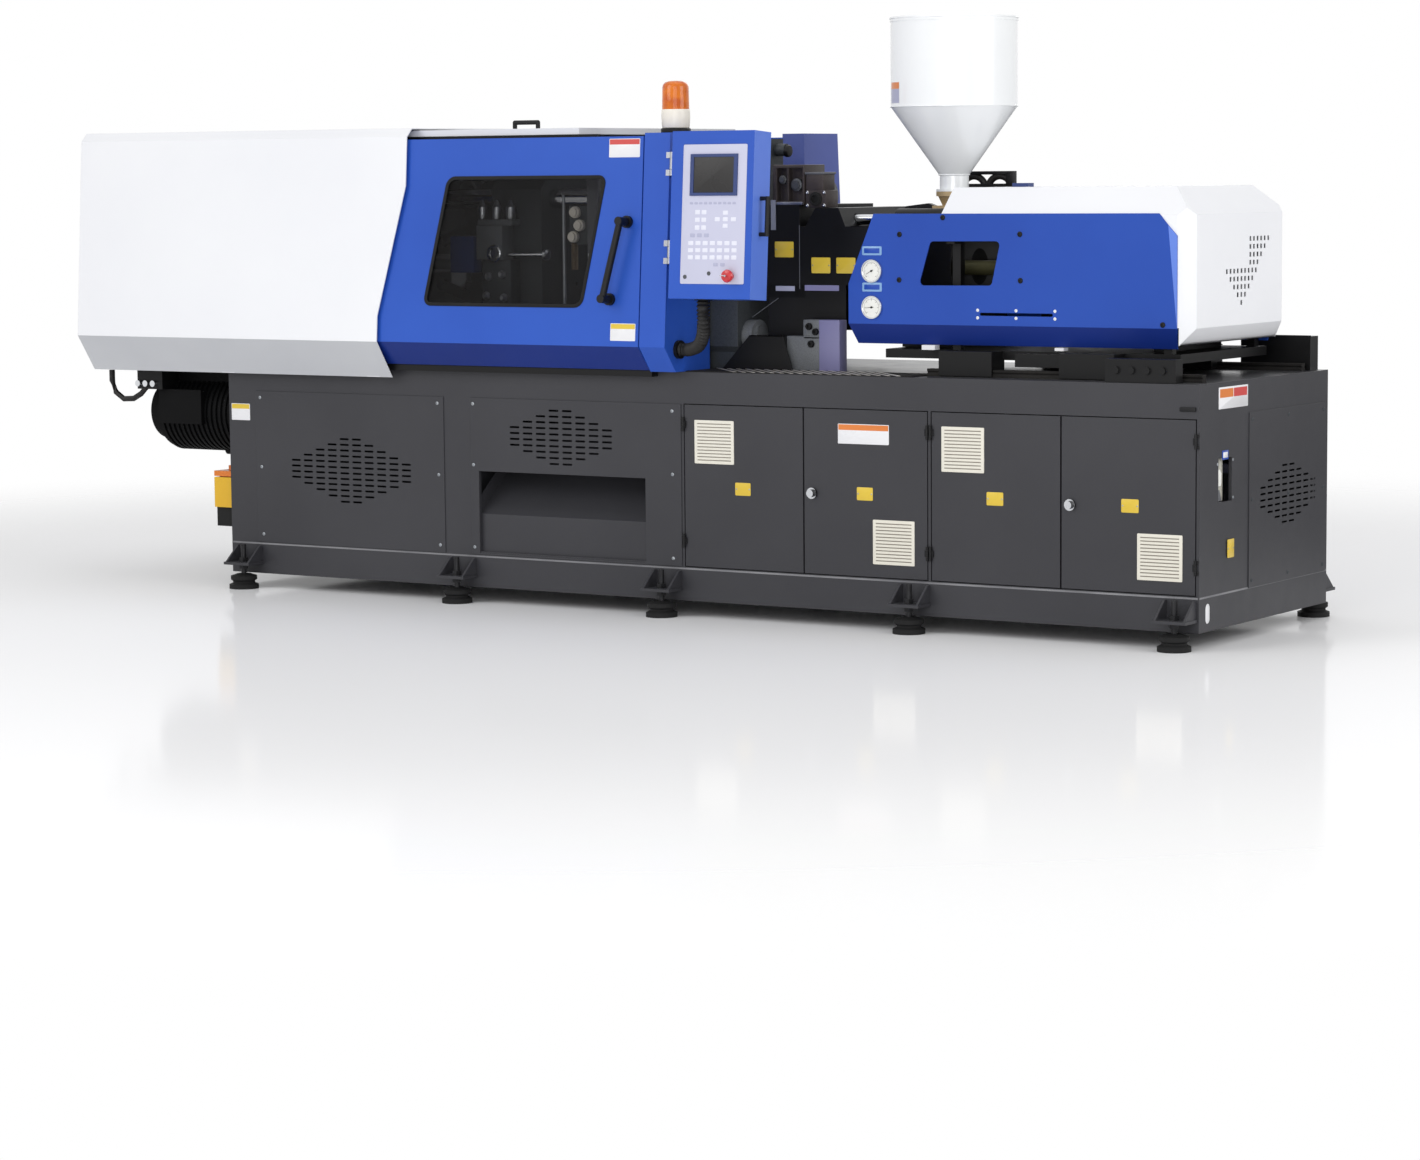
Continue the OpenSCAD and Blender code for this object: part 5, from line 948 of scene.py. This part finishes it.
# Beacon lamp
beaconShape = {"foot": [(50, 0.3), (52, 2), (52, 12), (49, 16), (46, 17)],
               "cup": [(46, 17), (48, 22), (50, 50), (49.4, 74), (48.6, 78), (47.4, 80)],
               "dome": [(47.4, 80), (47.2, 84), (45.8, 156), (43, 165), (36, 172.4), (23, 176.6), (6, 177.6)],
               "drum": [(16, 81), (16, 120), (20, 126), (20, 150), (12, 156)], "ribs": ((45.4, 88), (44.2, 152))}
foot = coat(addTurned(beaconShape["foot"], 48), "blackPlastic")
cup = coat(addTurned(beaconShape["cup"], 48), "creamPlastic")
dome = coat(addTurned(beaconShape["dome"], 64), "amberLens")
mirrorDrum = coat(addTurned(beaconShape["drum"], 16), "brightSteel")
ribs = []
for k in range(24):
    turn = angle(15 * k)
    ends = [(radius * math.cos(turn), radius * math.sin(turn), z) for radius, z in beaconShape["ribs"]]
    ribs.append(coat(addRod(*ends, 1.6, 8), "amberLens"))
beacon = join(foot, cup, dome, mirrorDrum, *ribs)
finishPiece(beacon, "beaconLamp", "machine", standing(1987, 50, 1670.3))
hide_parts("beacon")


# Pressure gauges with dial, ticks and needle
gauge = {"x": 2727, "zs": (1198, 1076),
         "case": [(33, -70), (9, -69), (9, -40), (34, -39.6), (35, -38), (35, 0.3), (40, 0.4), (40, 5), (38.5, 7.6),
                  (35, 7.8), (34, 6.4), (33.6, 5.2)]}


def addGauge(needleTurn):
    case = coat(addTurned(gauge["case"], 48), "brightSteel")
    dial = coat(addTurned([(33.6, 4.4), (33.6, 5.3), (32, 5.5)], 48), "dialWhite")
    ticks = []
    for k in range(31):
        a = angle(-135 + 9 * k)
        inner = 23 if k % 5 == 0 else 27
        way = Vector((math.sin(a), math.cos(a), 0))
        tick = addBlock((-0.55, 0.55), (inner, 30), (5.3, 5.8))
        tick.matrix_world = Matrix.Rotation(-a, 4, "Z")
        settle(tick)
        ticks.append(tick)
    marks = coat(join(*ticks), "blackPlastic")
    needle = addBlock((-1.1, 1.1), (-8, 24), (6.0, 6.7))
    pick(needle, lambda p, n: p.y > 10, "VERT")
    bpy.ops.transform.resize(value=(0.3, 1, 1), center_override=(0, 0, 0))
    closeEdit()
    needle.matrix_world = Matrix.Rotation(angle(needleTurn), 4, "Z")
    settle(needle)
    hub = addTurned([(3.6, 5.4), (3.6, 7), (2.6, 7.6)], 20)
    return join(case, dial, marks, coat(needle, "blackPlastic"), coat(hub, "blackPlastic"))


dials = []
for z, needleTurn in zip(gauge["zs"], (118, 96)):
    made = addGauge(needleTurn)
    made.matrix_world = Matrix.Translation(Vector((gauge["x"], 120, z)) / 1000) @ Matrix.Rotation(angle(90), 4, "X")
    settle(made)
    dials.append(made)
gauges = finishPiece(join(*dials), "pressureGauges", "carriage")
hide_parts("pressure_gauges")
namePlates = []
for z in (1266, 1144):
    rim = coat(addPlate((2689, 2765), (118.6, 120), (z - 15, z + 15), 4.0, 0.4), "plateBlue")
    field = coat(addPlate((2697, 2757), (118.1, 118.7), (z - 8.5, z + 8.5), 2.0, 0.3), "panelBlue")
    namePlates += [rim, field]
finishPiece(join(*namePlates), "gaugePlates", "carriage")

# Hopper beads, collar and blank plate
hopperLow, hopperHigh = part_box("hopper")
hopperRadius = (hopperHigh.x - hopperLow.x) * 500
hopperAxis = (2.832, 0.5)
trim = []
for radius, z, thick in ((hopperRadius + 1.5, 2049, 3.0), (hopperRadius + 0.4, 1750, 2.2), (52, 1518, 2.6)):
    clearPick()
    bpy.ops.mesh.primitive_torus_add(major_radius=radius / 1000, minor_radius=thick / 1000, major_segments=96,
                                     minor_segments=10, location=(*hopperAxis, z / 1000))
    ring = bpy.context.object
    settle(ring)
    trim.append(coat(ring, "hopperWhite"))
finishPiece(join(*trim[:2]), "hopperBeads", "carriage")
finishPiece(trim[2], "hopperCollar", "carriage")


# A blank plate wrapped round the hopper: the wall's own curve, cut to its width
def addWrap(z, turn, spread, finishName):
    clearPick()
    bpy.ops.mesh.primitive_cylinder_add(vertices=144, radius=(hopperRadius + 0.6) / 1000, depth=(z[1] - z[0]) / 1000,
                                        end_fill_type="NOTHING", location=(*hopperAxis, sum(z) / 2000))
    wrap = bpy.context.object
    settle(wrap)
    middle = Vector((math.sin(angle(turn)), -math.cos(angle(turn)), 0))
    pick(wrap, lambda p, n: n.angle(middle) > angle(spread))
    bpy.ops.mesh.delete(type="FACE")
    closeEdit()
    return coat(wrap, finishName)


hopperPlate = {"turn": -40, "spread": 11, "orange": (1810, 1832), "grey": (1762, 1809.5)}
bands = [addWrap(hopperPlate["orange"], hopperPlate["turn"], hopperPlate["spread"], "plateOrange"),
         addWrap(hopperPlate["grey"], hopperPlate["turn"], hopperPlate["spread"], "keyGrey")]
finishPiece(join(*bands), "hopperPlate", "carriage")

# Tread plate on the deck between the column and the injection unit; its ribs are lighter than the sheet as painted
# highlights
tread = {"x": (2046, 2940), "y": (6, 196), "rib": 15, "pitch": 38, "count": 18}
sheetPlate = addBlock(tread["x"], tread["y"], (850.3, 853))
treadDeep = tread["y"][1] - tread["y"][0]
ribLeft = tread["x"][0] + treadDeep + 4
rib = addBlock((ribLeft, ribLeft + tread["rib"]), tread["y"], (852.6, 854.2))
pick(rib, lambda p, n: p.y > 100, "VERT")
bpy.ops.transform.translate(value=(-treadDeep / 1000, 0, 0))
closeEdit()
repeat(rib, tread["count"], (tread["pitch"], 0, 0))
treadPlate = join(coat(sheetPlate, "treadDark"), coat(rib, "treadHighlight"))
finishPiece(treadPlate, "treadPlate", "machine")
print("beacon, gauges, hopper and deck done")
